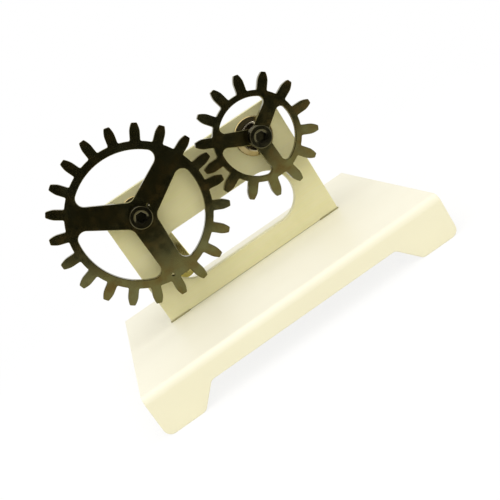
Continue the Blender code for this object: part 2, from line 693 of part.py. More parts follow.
def crank():
    """Flat arm on the shaft's flats, hanging almost straight down, with a free grip on a pin."""
    frame = on_shaft(LARGE_X) @ Matrix.Rotation(CRANK_TILT, 4, "Z")
    half = ARM_WIDTH / 2
    outline = (arc((0, 0), half, 0, math.pi) + arc((0, -CRANK_THROW), half, math.pi, 2 * math.pi))
    seat = SEAT_RADIUS + GAP
    flat_turn = math.acos((SEAT_FLAT + GAP) / seat)
    keyed = (arc((0, 0), seat, flat_turn, math.pi - flat_turn)
             + arc((0, 0), seat, math.pi + flat_turn, 2 * math.pi - flat_turn))
    thread_hole = ring_outline(CRANK_THREAD_RADIUS + GAP, (0, -CRANK_THROW), SMALL_TURNS)
    middle = (ARM_FRONT + ARM_BACK) / 2
    arm = flat("crank_arm", [outline, keyed, thread_hole], ARM_SHEET,
               frame @ Matrix.Translation((0, 0, middle)))
    keep(arm, BRASS)

    washer_front = ARM_BACK - GAP
    washer_back = washer_front - THRUST_SHEET
    washer("crank_arm_washer", LARGE_X, ARM_SCREW_RADIUS + GAP, ARM_WASHER_RADIUS, washer_front,
           washer_back, BRIGHT_STEEL)
    head_front = washer_back - GAP
    head_back = head_front - ARM_HEAD_HEIGHT
    tip = ARM_BACK + GAP + ARM_SCREW_GRIP
    screw = turned("crank_arm_screw", [
        (0.0, tip), (ARM_SCREW_RADIUS, tip), (ARM_SCREW_RADIUS, head_front),
        (ARM_HEAD_RADIUS, head_front), (ARM_HEAD_RADIUS, head_back + HEAD_EDGE),
        (ARM_HEAD_RADIUS - HEAD_EDGE, head_back), (0.0, head_back)],
        on_shaft(LARGE_X), BLACK_SCREW, False)
    cut(screw, rod_cutter("crank_arm_socket", hex_radius(ARM_SOCKET_FLATS), 2 * ARM_SOCKET_DEPTH,
                          on_shaft(LARGE_X) @ Matrix.Translation((0, 0, head_back)), 6))

    on_pin = frame @ Matrix.Translation((0, -CRANK_THROW, 0))
    shoulder = ARM_BACK - GAP
    grip_front = shoulder - GAP
    grip_back = grip_front - GRIP_LENGTH
    head_at = grip_back - GAP
    pin_end = head_at - CRANK_HEAD_HEIGHT
    pin = turned("crank_pin", [
        (0.0, ARM_FRONT), (CRANK_THREAD_RADIUS, ARM_FRONT), (CRANK_THREAD_RADIUS, shoulder),
        (CRANK_PIN_RADIUS, shoulder), (CRANK_PIN_RADIUS, head_at), (CRANK_HEAD_RADIUS, head_at),
        (CRANK_HEAD_RADIUS, pin_end + HEAD_EDGE), (CRANK_HEAD_RADIUS - HEAD_EDGE, pin_end),
        (0.0, pin_end)], on_pin, BRIGHT_STEEL, False)
    size = (3 * CRANK_HEAD_RADIUS, CRANK_SLOT, CRANK_HEAD_HEIGHT)
    slit = box_cutter("crank_pin_slit", size, (0, 0, 0))
    slit.matrix_world = on_pin @ Matrix.Translation((0, 0, pin_end))
    cut(pin, slit)

    inner = CRANK_PIN_RADIUS + GAP
    middle = (grip_front + grip_back) / 2
    turned("crank_grip", [
        (inner, grip_front), (GRIP_RADIUS - GRIP_END, grip_front), (GRIP_RADIUS, grip_front - GRIP_END),
        (GRIP_RADIUS - GRIP_WAIST, middle), (GRIP_RADIUS, grip_back + GRIP_END),
        (GRIP_RADIUS - GRIP_END, grip_back), (inner, grip_back)], on_pin, BLACK_GRIP, True)


stand()
upright()
tab_pins()
gears()
shaft_parts()
drive_shaft()
driven_shaft()
keeper()
crank()
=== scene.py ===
from collections import namedtuple
from math import acos, asin, atan2, ceil, cos, pi, radians, sin, sqrt, tan

import bmesh
import bpy
from mathutils import Matrix, Quaternion, Vector


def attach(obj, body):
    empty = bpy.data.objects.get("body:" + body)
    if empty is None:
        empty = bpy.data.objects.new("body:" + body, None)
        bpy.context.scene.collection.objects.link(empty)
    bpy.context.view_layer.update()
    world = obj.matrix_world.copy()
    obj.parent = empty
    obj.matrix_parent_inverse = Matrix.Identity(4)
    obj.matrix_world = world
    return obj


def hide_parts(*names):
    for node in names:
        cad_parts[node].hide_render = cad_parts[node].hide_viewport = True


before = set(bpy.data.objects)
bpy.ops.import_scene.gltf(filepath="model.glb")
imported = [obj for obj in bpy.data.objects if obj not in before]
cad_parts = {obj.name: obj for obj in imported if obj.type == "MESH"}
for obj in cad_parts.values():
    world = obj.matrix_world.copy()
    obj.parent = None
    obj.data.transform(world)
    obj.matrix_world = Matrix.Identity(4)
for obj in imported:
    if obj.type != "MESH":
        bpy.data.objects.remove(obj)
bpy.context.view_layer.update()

# Sizes in metres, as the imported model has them. The front is towards -Y, and the origin is on
# the surface that the stand rests on, under its middle.
GAP = 0.0003
BROKEN, FINE_BROKEN = 0.0002, 0.0001        # radius of an edge broken with a file and with a stone
BEYOND = 0.001                              # how far a cutting shape stands out of what it cuts
BASE_WIDTH, BASE_DEPTH, BASE_HEIGHT, BASE_SHEET = 0.118, 0.102, 0.016, 0.002
BASE_BEND, BASE_EDGE, BEND_STEPS = 0.003, 0.00025, 12
FLANGE_CUT, FOOT_WIDTH, FOOT_SLANT = 0.0078, 0.0148, radians(47)
FOOT_CORNER, FOOT_INNER, CUT_FILLET = 0.003, 0.0025, 0.0025
PLATE_WIDTH, PLATE_HEIGHT, PLATE_SHEET = 0.0792, 0.052, 0.003
PLATE_FRONT, PLATE_CORNER, PLATE_FOOT = 0.0036, 0.0008, 0.0001
SLOT_LENGTH, SLOT_HEIGHT, SLOT_RISE = 0.058, 0.0212, 0.0191
TAB_WIDTH, TAB_DROP, TAB_SLOT_FRONT, TAB_SLOT_CORNER = 0.0082, 0.0065, 0.0004, 0.0004
TAB_STEP, TAB_STEP_RISE = 0.001, 0.0005     # a tab is thinner than the plate, from just above the stand
PIN_OUTER, PIN_WALL, PIN_LENGTH, PIN_SLIT, PIN_EDGE = 0.001, 0.0004, 0.011, 0.0005, 0.00008
MODULE, PRESSURE_ANGLE = 0.003, radians(14.5)
ROOT_FILLET, TIP_CORNER = 0.0006, 0.0005
FLANK_STEPS, FLANK_TOP = 5, 0.0009          # a flank ends this far below the tip's round corner
GEAR_SHEET, SPOKES, SPOKE_TAPER = 0.0025, 3, radians(2.3)
SHAFT_Z = BASE_HEIGHT + 0.0425
LARGE_X, SMALL_X = -0.02625, 0.02625
JIG_HOLE, JIG_HOLE_REACH, JIG_HOLE_TURN = 0.0006, 0.0252, radians(264.8)
SHAFT_RADIUS, NOSE_RADIUS = 0.004, 0.0035
BORE, NOSE_BORE = SHAFT_RADIUS + GAP, NOSE_RADIUS + GAP
BUSH_RADIUS, LEFT_FLANGE, RIGHT_FLANGE = 0.0055, 0.0069, 0.00765
FLANGE_SLOPE, FLANGE_DROP, FLANGE_CORNER = 0.0022, 0.0007, 0.0003
NUT_FLATS, NUT_CHAMFER, NUT_CHAMFER_OUT, NUT_CHAMFER_IN = 0.014, 0.0006, 0.0004, 0.0024
SPACER_RADIUS, COLLAR_RADIUS, SPACER_CHAMFER = 0.0057, 0.0058, 0.00045
DRIVE_PIN_RADIUS, DRIVE_PIN_HOLE, DRIVE_PIN_BITE = 0.0005, 0.00065, 0.0018
DRIVE_PIN_REACH, DRIVE_PIN_TURN = 0.00497, radians(18.4)
THRUST_RADIUS = 0.006
WASHER_SLIT, WASHER_LEAN = radians(3.5), radians(8)
ARM_WIDTH, ARM_WASHER, ARM_WASHER_RADIUS, ARM_SCREW_GRIP = 0.0097, 0.0008, 0.0045, 0.005
CRANK_THROW, CRANK_TILT = 0.0286, radians(5.1)
SEAT_RADIUS, SEAT_FLAT = 0.003, 0.0024
CRANK_PIN_RADIUS, CRANK_THREAD_RADIUS = 0.0025, 0.002
CRANK_HEAD, CRANK_HEAD_RADIUS, CRANK_HEAD_EDGE = 0.0024, 0.0038, 0.0007
CRANK_SLOT, CRANK_SLOT_DEPTH = 0.0008, 0.0012
GRIP_LENGTH, GRIP_RADIUS, GRIP_WAIST = 0.024, 0.0045, 0.0004
GRIP_END, GRIP_SHOULDER, GRIP_WAIST_CURVE = 0.0008, 0.0015, 0.12
KEEPER_RADIUS, KEEPER_LENGTH, KEEPER_EDGE = 0.007, 0.006, 0.0004
KEEPER_SCREW_RADIUS, KEEPER_SOCKET_FLATS, KEEPER_SOCKET_DEPTH = 0.0015, 0.0015, 0.0012
# Distances in front of the upright plate's front face, along a shaft
FLANGE_FRONT = 0.0018
SPACER_BACK, SPACER_FRONT = 0.0021, 0.0053
GEAR_BACK, GEAR_FRONT = 0.0056, 0.0081
WASHER_BACK, WASHER_FRONT = 0.0084, 0.009
HEAD_BACK = 0.0093
NUT_FRONT, NUT_BACK, BARREL_BACK = -0.0033, -0.0058, -0.0064
THRUST_FRONT, THRUST_BACK = -0.0067, -0.0075
ARM_FRONT, ARM_BACK = -0.0078, -0.0108
SCREW_TIP = SPACER_FRONT - 0.006
ARM_SCREW_TIP = ARM_BACK + GAP + ARM_SCREW_GRIP

# Tooth sizes are in modules. The corners are those of a window, at the rim and at the hub.
Gear = namedtuple("Gear", "x body teeth thickness addendum dedendum rim spoke rim_corner hub_corner turn"
                          " spoke_turn")
GEARS = {
    "large": Gear(x=LARGE_X, body="drive_train", teeth=21, thickness=1.2, addendum=0.77, dedendum=1.4,
                  rim=0.0031, spoke=0.0103, rim_corner=0.0031, hub_corner=0.0035,
                  turn=radians(-0.5), spoke_turn=radians(29.8)),
    "small": Gear(x=SMALL_X, body="driven_train", teeth=14, thickness=1.25, addendum=0.89, dedendum=1.32,
                  rim=0.0023, spoke=0.0063, rim_corner=0.002, hub_corner=0.0016,
                  turn=radians(0.6), spoke_turn=radians(34.2))}
Screw = namedtuple("Screw", "head height shank flats depth bevel ridges")
GEAR_SCREW = Screw(head=0.00425, height=0.005, shank=0.0025, flats=0.004, depth=0.0028, bevel=0.0008,
                   ridges=40)
ARM_SCREW = Screw(head=0.00275, height=0.003, shank=0.0015, flats=0.0025, depth=0.0016, bevel=0.0003,
                  ridges=32)
# Shares of a screw head's radius
HEAD_EDGE, KNURL_DEPTH = 0.09, 0.03

# The camera, fitted to the outlines of both gears, the plate and the stand's front flange
CAMERA_LENS, CAMERA_SENSOR = 56.3305, 36.0
CAMERA_PLACE = (-0.022709, -0.291214, 0.099106)
CAMERA_TURN = Quaternion((0.747931, 0.592505, 0.151973, -0.257761))

FINE, LATHE = radians(4), radians(22.5)       # steps along an arc
SHARP_LEAN, LEVEL_LEAN, LEVEL = radians(32), radians(3), 0.99999      # what shades sharp
WELD, RULE_WELD, SLIVER, ON_AXIS = 0.0000005, 0.000001, 0.0000002, 1e-9         # lengths taken as none
WHITE = (1.0, 1.0, 1.0, 1.0)


def arc(centre, radius, start, end, step=FINE):
    count = max(1, ceil(abs(end - start) / step))
    turns = [start + (end - start) * i / count for i in range(count + 1)]
    return [(centre[0] + radius * cos(t), centre[1] + radius * sin(t)) for t in turns]


def rounded(corners, step=FINE):
    """Closed outline from corners (x, y, radius), with an arc at each corner that has a radius."""
    points = []
    for i, (x, y, radius) in enumerate(corners):
        if radius <= 0:
            points.append((x, y))
            continue
        here = Vector((x, y))
        before = (Vector(corners[i - 1][:2]) - here).normalized()
        after = (Vector(corners[(i + 1) % len(corners)][:2]) - here).normalized()
        half = before.angle(after) / 2
        centre = here + (before + after).normalized() * (radius / sin(half))
        first = here + before * (radius / tan(half)) - centre
        last = here + after * (radius / tan(half)) - centre
        start = atan2(first.y, first.x)
        sweep = (atan2(last.y, last.x) - start + pi) % (2 * pi) - pi
        points += arc(centre, radius, start, start + sweep, step)
    return points


def circle(radius, centre=(0.0, 0.0), count=96):
    turns = [2 * pi * i / count for i in range(count)]
    return [(centre[0] + radius * cos(t), centre[1] + radius * sin(t)) for t in turns]


def hexagon(flats):
    return circle(flats / 2 / cos(radians(30)), count=6)


def facing_front(x, y, z):
    """Local X stays X, local Y points up and local Z points to the front."""
    return Matrix.Translation((x, y, z)) @ Matrix.Rotation(radians(90), 4, "X")


def on_shaft(x, forward=0.0):
    """Frame on a shaft: local Z runs to the front from the upright plate's front face."""
    return facing_front(x, PLATE_FRONT - forward, SHAFT_Z)


def evaluated(item):
    bpy.context.view_layer.update()
    graph = bpy.context.evaluated_depsgraph_get()
    return bpy.data.meshes.new_from_object(item.evaluated_get(graph))


def linked(name, data):
    item = bpy.data.objects.new(name, data)
    bpy.context.scene.collection.objects.link(item)
    return item


def discard(item):
    bpy.data.objects.remove(item, do_unlink=True)


def mesh_of(name, points, faces=()):
    mesh = bpy.data.meshes.new(name)
    mesh.from_pydata(points, [], faces)
    return mesh


def outward(work):
    """Turns a closed mesh's faces outwards, also where a slit form misleads the first step."""
    bmesh.ops.recalc_face_normals(work, faces=work.faces)
    if work.calc_volume(signed=True) < 0:
        bmesh.ops.reverse_faces(work, faces=work.faces)


def welded(mesh):
    """Merges doubled points, turns the faces outwards and marks the edges that shade sharp: the
    steep ones, and those round a level face, so that it stays flat."""
    work = bmesh.new()
    work.from_mesh(mesh)
    bmesh.ops.remove_doubles(work, verts=work.verts, dist=WELD)
    bmesh.ops.dissolve_degenerate(work, edges=work.edges, dist=SLIVER)
    outward(work)
    for edge in work.edges:
        if len(edge.link_faces) == 2:
            level = any(abs(face.normal.z) > LEVEL for face in edge.link_faces)
            edge.smooth = edge.calc_face_angle(0.0) < (LEVEL_LEAN if level else SHARP_LEAN)
    work.to_mesh(mesh)
    work.free()
    return mesh


def curve_of(name, outlines):
    """A flat curve object with one closed spline for each outline."""
    curve = bpy.data.curves.new(name, "CURVE")
    curve.dimensions = "2D"
    for outline in outlines:
        spline = curve.splines.new("POLY")
        spline.points.add(len(outline) - 1)
        for point, (x, y) in zip(spline.points, outline):
            point.co = (x, y, 0.0, 1.0)
        spline.use_cyclic_u = True
    return linked(name, curve)


def flat(outlines, thickness, edge, steps=2):
    """Sheet cut to outlines, the first outside and the rest holes, with its edges broken round."""
    item = curve_of("outline", outlines)
    item.data.fill_mode = "BOTH"
    item.data.extrude = thickness / 2 - edge
    item.data.bevel_depth = edge
    item.data.bevel_resolution = steps
    item.data.offset = -edge
    mesh = evaluated(item)
    discard(item)
    return welded(mesh)


def turned(corners, count=96, step=LATHE):
    """Turned solid from a closed outline of corners (radius, height, edge radius)."""
    profile = rounded(corners, step)
    points = [(r * x, r * y, h) for r, h in profile for x, y in circle(1.0, count=count)]
    faces = []
    for i, (radius, _) in enumerate(profile):
        j = (i + 1) % len(profile)
        if max(radius, profile[j][0]) >= ON_AXIS:
            for k in range(count):
                n = (k + 1) % count
                faces.append((i * count + k, i * count + n, j * count + n, j * count + k))
    return welded(mesh_of("turned", points, faces))


def prism(outline, low, high):
    mesh = flat([outline], high - low, 0.0)
    mesh.transform(Matrix.Translation((0, 0, (low + high) / 2)))
    return mesh


def block(x, y, z):
    """A box from its least and greatest x, y and z."""
    return prism([(x[0], y[0]), (x[1], y[0]), (x[1], y[1]), (x[0], y[1])], *z)


def combined(mesh, other, operation="DIFFERENCE"):
    """The first mesh cut by the other one, or kept where it meets it."""
    item, tool = linked("item", mesh), linked("tool", other)
    change = item.modifiers.new("change", "BOOLEAN")
    change.operation = operation
    change.solver = "EXACT"
    change.object = tool
    result = evaluated(item)
    discard(item)
    discard(tool)
    return welded(result)


def piece(name, mesh, place, finish, body, *nodes):
    """A finished piece: its place in its mesh, even shading, finish, body and CAD nodes."""
    material, slot = finish
    mesh.transform(place)
    mesh.materials.clear()
    mesh.materials.append(material)
    mesh.shade_smooth()
    item = linked(name, mesh)
    weight = item.modifiers.new("even_normals", "WEIGHTED_NORMAL")
    weight.keep_sharp = True
    weight.weight = 100
    item.data = evaluated(item)
    item.modifiers.clear()
    item.data.name = name
    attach(item, body)
    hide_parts(*nodes)


def linear(colour):
    """sRGB hex, such as c8b464, to the linear values that a shader takes."""
    values = [int(colour[i:i + 2], 16) / 255 for i in (0, 2, 4)]
    return (*[v / 12.92 if v <= 0.04045 else ((v + 0.055) / 1.055) ** 2.4 for v in values], 1.0)


# The kinds of node that are used most
MATH, MIX, NOISE, RANGE = "ShaderNodeMath", "ShaderNodeMix", "ShaderNodeTexNoise", "ShaderNodeMapRange"


def add(tree, kind, *values, **named):
    """Adds a node. Plain values go to the inputs that it uses, in their order. A name in small
    letters is a setting, and one with a capital is an input, with _ for a space. A value may be a
    socket, or a node, which stands for the first output that it uses."""
    made = tree.nodes.new(kind)
    for name in [name for name in named if name.islower()]:
        setattr(made, name, named.pop(name))
    given = list(zip([socket for socket in made.inputs if socket.enabled], values))
    given += [(made.inputs[name.replace("_", " ")], value) for name, value in named.items()]
    for socket, value in given:
        if isinstance(value, bpy.types.Node):
            value = next(output for output in value.outputs if output.enabled)
        if isinstance(value, bpy.types.NodeSocket):
            tree.links.new(value, socket)
        else:
            socket.default_value = value
    return made


def shader(name, colour, metallic, roughness, **sockets):
    """A material with plain values on its shader, and its tree."""
    made = bpy.data.materials.new(name)
    made.use_nodes = True
    surface = made.node_tree.nodes["Principled BSDF"]
    values = {"Base Color": linear(colour), "Metallic": metallic, "Roughness": roughness, **sockets}
    for socket, value in values.items():
        surface.inputs[socket].default_value = value
    return made, made.node_tree


def per(size):
    """Noise scale for features of this size in millimetres."""
    return 1000 / size


def bands(size):
    """Wave scale for lines this many millimetres apart; at scale 1 they are 0.31416 m apart."""
    return 314.16 / size


def edge_mask(tree, width, share):
    """This share on edges and 0 on flat faces, from how far the rounded normal leans."""
    soft = add(tree, "ShaderNodeBevel", Radius=width, samples=6)
    true = add(tree, "ShaderNodeNewGeometry").outputs["Normal"]
    lean = add(tree, "ShaderNodeVectorMath", soft, true, operation="DOT_PRODUCT")
    return add(tree, RANGE, Value=lean, From_Min=0.995, From_Max=0.9, To_Max=share)


def fine_lines(tree, place, scale, detail, turn=0.0):
    """Lines left by rolling, grinding or linishing, which follow the axis with the least scale."""
    stretched = add(tree, "ShaderNodeMapping", Vector=place, Rotation=(0.0, turn, 0.0), Scale=scale)
    return add(tree, NOISE, Vector=stretched, Scale=1.0, Detail=detail)


def finished(tree, colour, cloud, gloss, height, strength, depth):
    """Gives a shader its colour, a roughness clouded between two values, and its relief."""
    surface = tree.nodes["Principled BSDF"].inputs
    rough = add(tree, RANGE, Value=cloud, To_Min=gloss[0], To_Max=gloss[1])
    bump = add(tree, "ShaderNodeBump", Height=height, Strength=strength, Distance=depth)
    tree.links.new(colour.outputs[2], surface["Base Color"])
    tree.links.new(rough.outputs[0], surface["Roughness"])
    tree.links.new(bump.outputs[0], surface["Normal"])


def powder_coat():
    """Ivory polyester powder coat on steel: satin, with a faint orange peel, thinner on its edges."""
    made, tree = shader("ivory_powder_coat", "f1eed7", 0.0, 0.42)
    place = add(tree, "ShaderNodeTexCoord").outputs["Object"]
    cloud = add(tree, NOISE, Vector=place, Scale=per(28), Detail=3.0)
    tint = add(tree, MIX, cloud, linear("f3f1e0"), linear("eeead7"), data_type="RGBA")
    pale_edged = add(tree, MIX, edge_mask(tree, 0.0006, 0.25), tint, linear("f7f4e4"), data_type="RGBA")
    # Real orange peel is about 0.5 mm from crest to crest; 0.9 mm is the finest that shows here.
    peel = add(tree, NOISE, Vector=place, Scale=per(0.9), Detail=1.0)
    finished(tree, pale_edged, cloud, (0.36, 0.5), peel, 0.25, 0.00003)
    return made


def anodised_sheet():
    """Rolled aluminium with a pale champagne anodised film: satin, with a faint grain along its
    length, a few dull marks and brighter broken edges."""
    made, tree = shader("champagne_anodised_sheet", "e7e0b4", 0.1, 0.45)
    place = add(tree, "ShaderNodeTexCoord").outputs["Object"]
    # Rolling lines are finer than 0.1 mm; 0.4 mm is the finest that shows here.
    grain = fine_lines(tree, place, (per(14), per(1.1), per(0.4)), 3.0)
    cloud = add(tree, NOISE, Vector=place, Scale=per(9), Detail=4.0, Roughness=0.6)
    tint = add(tree, MIX, cloud, linear("e1dca6"), linear("eee8be"), data_type="RGBA")
    lines = add(tree, MIX, 0.12, tint, grain.outputs["Color"], data_type="RGBA",
                blend_type="OVERLAY")
    pale_edged = add(tree, MIX, edge_mask(tree, 0.0005, 0.4), lines, linear("f6f1d8"), data_type="RGBA")
    finished(tree, pale_edged, cloud, (0.38, 0.52), grain, 0.2, 0.00001)
    return made


def blackened_steel(name, deep, brown, grey, bare_and_highlight, wear_and_highlight, grain_turn):
    """Ground steel under black oxide: a thin dark film, so it mirrors dimly, with brown and
    grey clouding, fine grinding lines, and paler metal on the edges of the cut and on marked faces.
    The pale edges are wear, and on the screws and collars also a painted highlight; the marked
    faces are a painted highlight."""
    made, tree = shader(name, deep, 1.0, 0.22)
    place = add(tree, "ShaderNodeTexCoord").outputs["Object"]
    cloud = add(tree, NOISE, Vector=place, Scale=per(5), Detail=6.0, Roughness=0.66)
    patch = add(tree, RANGE, Value=cloud, From_Min=0.42, From_Max=0.62)
    film = add(tree, NOISE, Vector=place, Scale=per(13), Detail=3.0, Roughness=0.6)
    thin = add(tree, RANGE, Value=film, From_Min=0.46, From_Max=0.66)
    stained = add(tree, MIX, patch, linear(deep), linear(brown), data_type="RGBA")
    tint = add(tree, MIX, thin, stained, linear(grey), data_type="RGBA")
    # Grinding lines are finer than 0.1 mm; 0.4 mm is the finest that shows here.
    grain = fine_lines(tree, place, (per(16), per(1.1), per(0.4)), 2.0, grain_turn)
    # Pale edges and marked faces: wear, and on the screws and collars also a painted highlight
    marked = add(tree, "ShaderNodeAttribute", attribute_name="bare_and_highlight").outputs["Fac"]
    pale_parts = add(tree, MATH, edge_mask(tree, 0.0003, wear_and_highlight), marked, operation="MAXIMUM")
    pale_edged = add(tree, MIX, pale_parts, tint, linear(bare_and_highlight), data_type="RGBA")
    finished(tree, pale_edged, patch, (0.14, 0.24), grain, 0.12, 0.00001)
    return made


def turned_metal(name, colour, dull, roughness, axis, line):
    """Bright metal as it comes off a lathe: fine rings round the axis and along the side, with
    dull patches of old oil, rubbed paler along the edges."""
    made, tree = shader(name, colour, 1.0, roughness)
    place = add(tree, "ShaderNodeTexCoord").outputs["Object"]
    centred = add(tree, "ShaderNodeMapping", Vector=place, Location=(-axis[0], 0.0, -axis[1]))
    rings, along = [add(tree, "ShaderNodeTexWave", Vector=centred, Scale=bands(line), wave_type=kind,
                        rings_direction="Y", bands_direction="Y").outputs["Fac"]
                    for kind in ("RINGS", "BANDS")]
    both = add(tree, MATH, rings, along, operation="ADD")
    cloud = add(tree, NOISE, Vector=place, Scale=per(3), Detail=4.0)
    tint = add(tree, MIX, cloud, linear(colour), linear(dull), data_type="RGBA")
    pale_parts = add(tree, MIX, edge_mask(tree, 0.0003, 0.6), tint, linear("d4cfbe"),
                 data_type="RGBA")
    finished(tree, pale_parts, cloud, (roughness - 0.06, roughness + 0.08), both, 0.15, 0.00001)
    return made


def satin_brass():
    """Brass bar, linished and left to tone down: warm yellow, with lines along the arm."""
    made, tree = shader("satin_brass", "d6ca86", 1.0, 0.24)
    place = add(tree, "ShaderNodeTexCoord").outputs["Object"]
    # Linishing lines are finer than 0.1 mm; 0.4 mm is the finest that shows here.
    grain = fine_lines(tree, place, (per(0.4), per(1.1), per(16)), 3.0, -CRANK_TILT)
    cloud = add(tree, NOISE, Vector=place, Scale=per(5), Detail=4.0)
    tint = add(tree, MIX, cloud, linear("e6dc9e"), linear("cec27a"), data_type="RGBA")
    pale_edged = add(tree, MIX, edge_mask(tree, 0.0004, 0.5), tint, linear("e6dca4"), data_type="RGBA")
    finished(tree, pale_edged, cloud, (0.17, 0.3), grain, 0.2, 0.00001)
    return made


def phenolic():
    """Black phenolic moulding: smooth, with a soft shine that handling has made uneven."""
    made, tree = shader("black_phenolic", "1a1916", 0.0, 0.35, IOR=1.6)
    place = add(tree, "ShaderNodeTexCoord").outputs["Object"]
    cloud = add(tree, NOISE, Vector=place, Scale=per(4), Detail=4.0)
    tint = add(tree, MIX, cloud, linear("171614"), linear("23211d"), data_type="RGBA")
    finished(tree, tint, cloud, (0.26, 0.44), cloud, 0.1, 0.00004)
    return made


# A finish is a material and its slot.
IVORY = (powder_coat(), "cream_powder_coat")
ALUMINIUM = (anodised_sheet(), "satin_anodised_plate")
BRASS = (satin_brass(), "crank_brass")
PHENOLIC = (phenolic(), "black_phenolic")
# Pale edge colour and share: wear on the gears, and on the screws and collars also a painted highlight
GEAR_STEEL, SCREW_STEEL, COLLAR_STEEL = [
    (blackened_steel("black_oxide_" + name, *values), slot) for name, slot, *values in (
        ("gear_steel", "blackened_gear_steel", "69643a", "6a5a30", "6b6842", "7d7650", 0.3, radians(24)),
        ("screw_steel", "black_oxide_screw", "4f4b33", "554f34", "524f38", "a8a288", 0.55, 0.0),
        ("collar_steel", "black_oxide_screw", "54482f", "5a4a2e", "504a38", "dcd4be", 0.9, 0.0))]
# Turned pieces have a steel or bronze for each axis, because its rings run round that axis.
LARGE_AXIS, SMALL_AXIS = (LARGE_X, SHAFT_Z), (SMALL_X, SHAFT_Z)
PIN_AXIS = (LARGE_X + CRANK_THROW * sin(CRANK_TILT), SHAFT_Z - CRANK_THROW * cos(CRANK_TILT))
STEEL_LEFT, STEEL_RIGHT, STEEL_PIN = [
    (turned_metal("turned_steel_" + place, "d2cdb8", "b4ae98", 0.24, axis, 0.16), "bright_steel")
    for place, axis in (("left_shaft", LARGE_AXIS), ("right_shaft", SMALL_AXIS), ("crank_pin", PIN_AXIS))]
BRONZE_LEFT, BRONZE_RIGHT = [
    (turned_metal("oiled_bronze_" + place, "a8996c", "8c7c50", 0.14, axis, 0.2), "bush_bronze")
    for place, axis in (("left_bush", LARGE_AXIS), ("right_bush", SMALL_AXIS))]


def folded_stand():
    """The stand's flat pattern, cut with its feet and tab slots, then folded down at both ends."""
    straight = BASE_HEIGHT - BASE_BEND
    turn = BASE_BEND * pi / 2
    half_top = BASE_DEPTH / 2 - BASE_BEND
    end = BASE_WIDTH / 2
    lowest = half_top + turn + straight
    cut = lowest - FLANGE_CUT
    slant_bottom = end - FOOT_WIDTH
    slant_top = slant_bottom - FLANGE_CUT / tan(FOOT_SLANT)
    right = [(slant_top, -cut, CUT_FILLET), (slant_bottom, -lowest, FOOT_INNER), (end, -lowest, FOOT_CORNER)]
    front = [(-x, y, r) for x, y, r in reversed(right)] + right
    back = [(-x, -y, r) for x, y, r in front]
    outlines = [rounded(front + back)]
    slot_front, slot_back = PLATE_FRONT - TAB_SLOT_FRONT, PLATE_FRONT + PLATE_SHEET + GAP
    for side in (-1, 1):
        middle = side * (PLATE_WIDTH - TAB_WIDTH) / 2
        low, high = middle - TAB_WIDTH / 2 - GAP, middle + TAB_WIDTH / 2 + GAP
        outlines.append(rounded([(x, y, TAB_SLOT_CORNER) for x, y in (
            (low, slot_front), (high, slot_front), (high, slot_back), (low, slot_back))]))
    mesh = flat(outlines, BASE_SHEET, BASE_EDGE)
    work = bmesh.new()
    work.from_mesh(mesh)
    for side in (-1, 1):
        for i in range(BEND_STEPS + 1):
            line = Vector((0, side * (half_top + turn * i / BEND_STEPS), 0))
            bmesh.ops.bisect_plane(work, geom=work.verts[:] + work.edges[:] + work.faces[:], dist=0.0000001,
                                   plane_co=line, plane_no=(0, 1, 0))
    for vert in work.verts:
        side = 1 if vert.co.y > 0 else -1
        along = abs(vert.co.y) - half_top
        depth = BASE_SHEET / 2 - vert.co.z
        if along <= 0:
            vert.co.z = BASE_HEIGHT - depth
        elif along <= turn:
            angle = along / BASE_BEND
            reach = BASE_BEND - depth
            vert.co.y = side * (half_top + reach * sin(angle))
            vert.co.z = BASE_HEIGHT - BASE_BEND + reach * cos(angle)
        else:
            vert.co.y = side * (BASE_DEPTH / 2 - depth)
            vert.co.z = straight - (along - turn)
    outward(work)
    work.to_mesh(mesh)
    work.free()
    piece("folded_stand", mesh, Matrix(), IVORY, "stand", "base_channel")


def slotted_plate():
    half = PLATE_WIDTH / 2
    tab_foot = -BASE_SHEET - TAB_DROP
    tab_inner = half - TAB_WIDTH
    outline = rounded([
        (-half, tab_foot, PLATE_CORNER), (-tab_inner, tab_foot, PLATE_CORNER), (-tab_inner, PLATE_FOOT, 0.0),
        (tab_inner, PLATE_FOOT, 0.0), (tab_inner, tab_foot, PLATE_CORNER), (half, tab_foot, PLATE_CORNER),
        (half, PLATE_HEIGHT, PLATE_CORNER), (-half, PLATE_HEIGHT, PLATE_CORNER)])
    reach = (SLOT_LENGTH - SLOT_HEIGHT) / 2
    end = SLOT_HEIGHT / 2
    slot = (arc((reach, SLOT_RISE), end, -pi / 2, pi / 2)
            + arc((-reach, SLOT_RISE), end, pi / 2, 1.5 * pi))
    rise = SHAFT_Z - BASE_HEIGHT
    holes = [circle(BUSH_RADIUS + GAP, (x, rise)) for x in (LARGE_X, SMALL_X)]
    pin_rise = -BASE_SHEET - GAP - PIN_OUTER
    holes += [circle(PIN_OUTER + GAP, (side * (half - TAB_WIDTH / 2), pin_rise), 32) for side in (-1, 1)]
    mesh = flat([outline, slot, *holes], PLATE_SHEET, BROKEN)
    # The step shows as a dark line over each tab's slot.
    for side in (-1, 1):
        across = sorted((side * (tab_inner - GAP), side * (half + GAP)))
        mesh = combined(mesh, block(across, (tab_foot - GAP, TAB_STEP_RISE),
                                    (PLATE_SHEET / 2 - TAB_STEP, PLATE_SHEET)))
    place = facing_front(0, PLATE_FRONT + PLATE_SHEET / 2, BASE_HEIGHT)
    piece("slotted_plate", mesh, place, ALUMINIUM, "stand", "upright_plate")


def slit_ring(outer, inner, outer_turn, inner_turn, slit_at=0.0, lean=0.0):
    """Outline of a ring with a slit, from half the slit's angle at each radius."""
    full = 2 * pi
    return (arc((0, 0), outer, slit_at + outer_turn + lean, slit_at + full - outer_turn + lean)
            + arc((0, 0), inner, slit_at + full - inner_turn, slit_at + inner_turn))


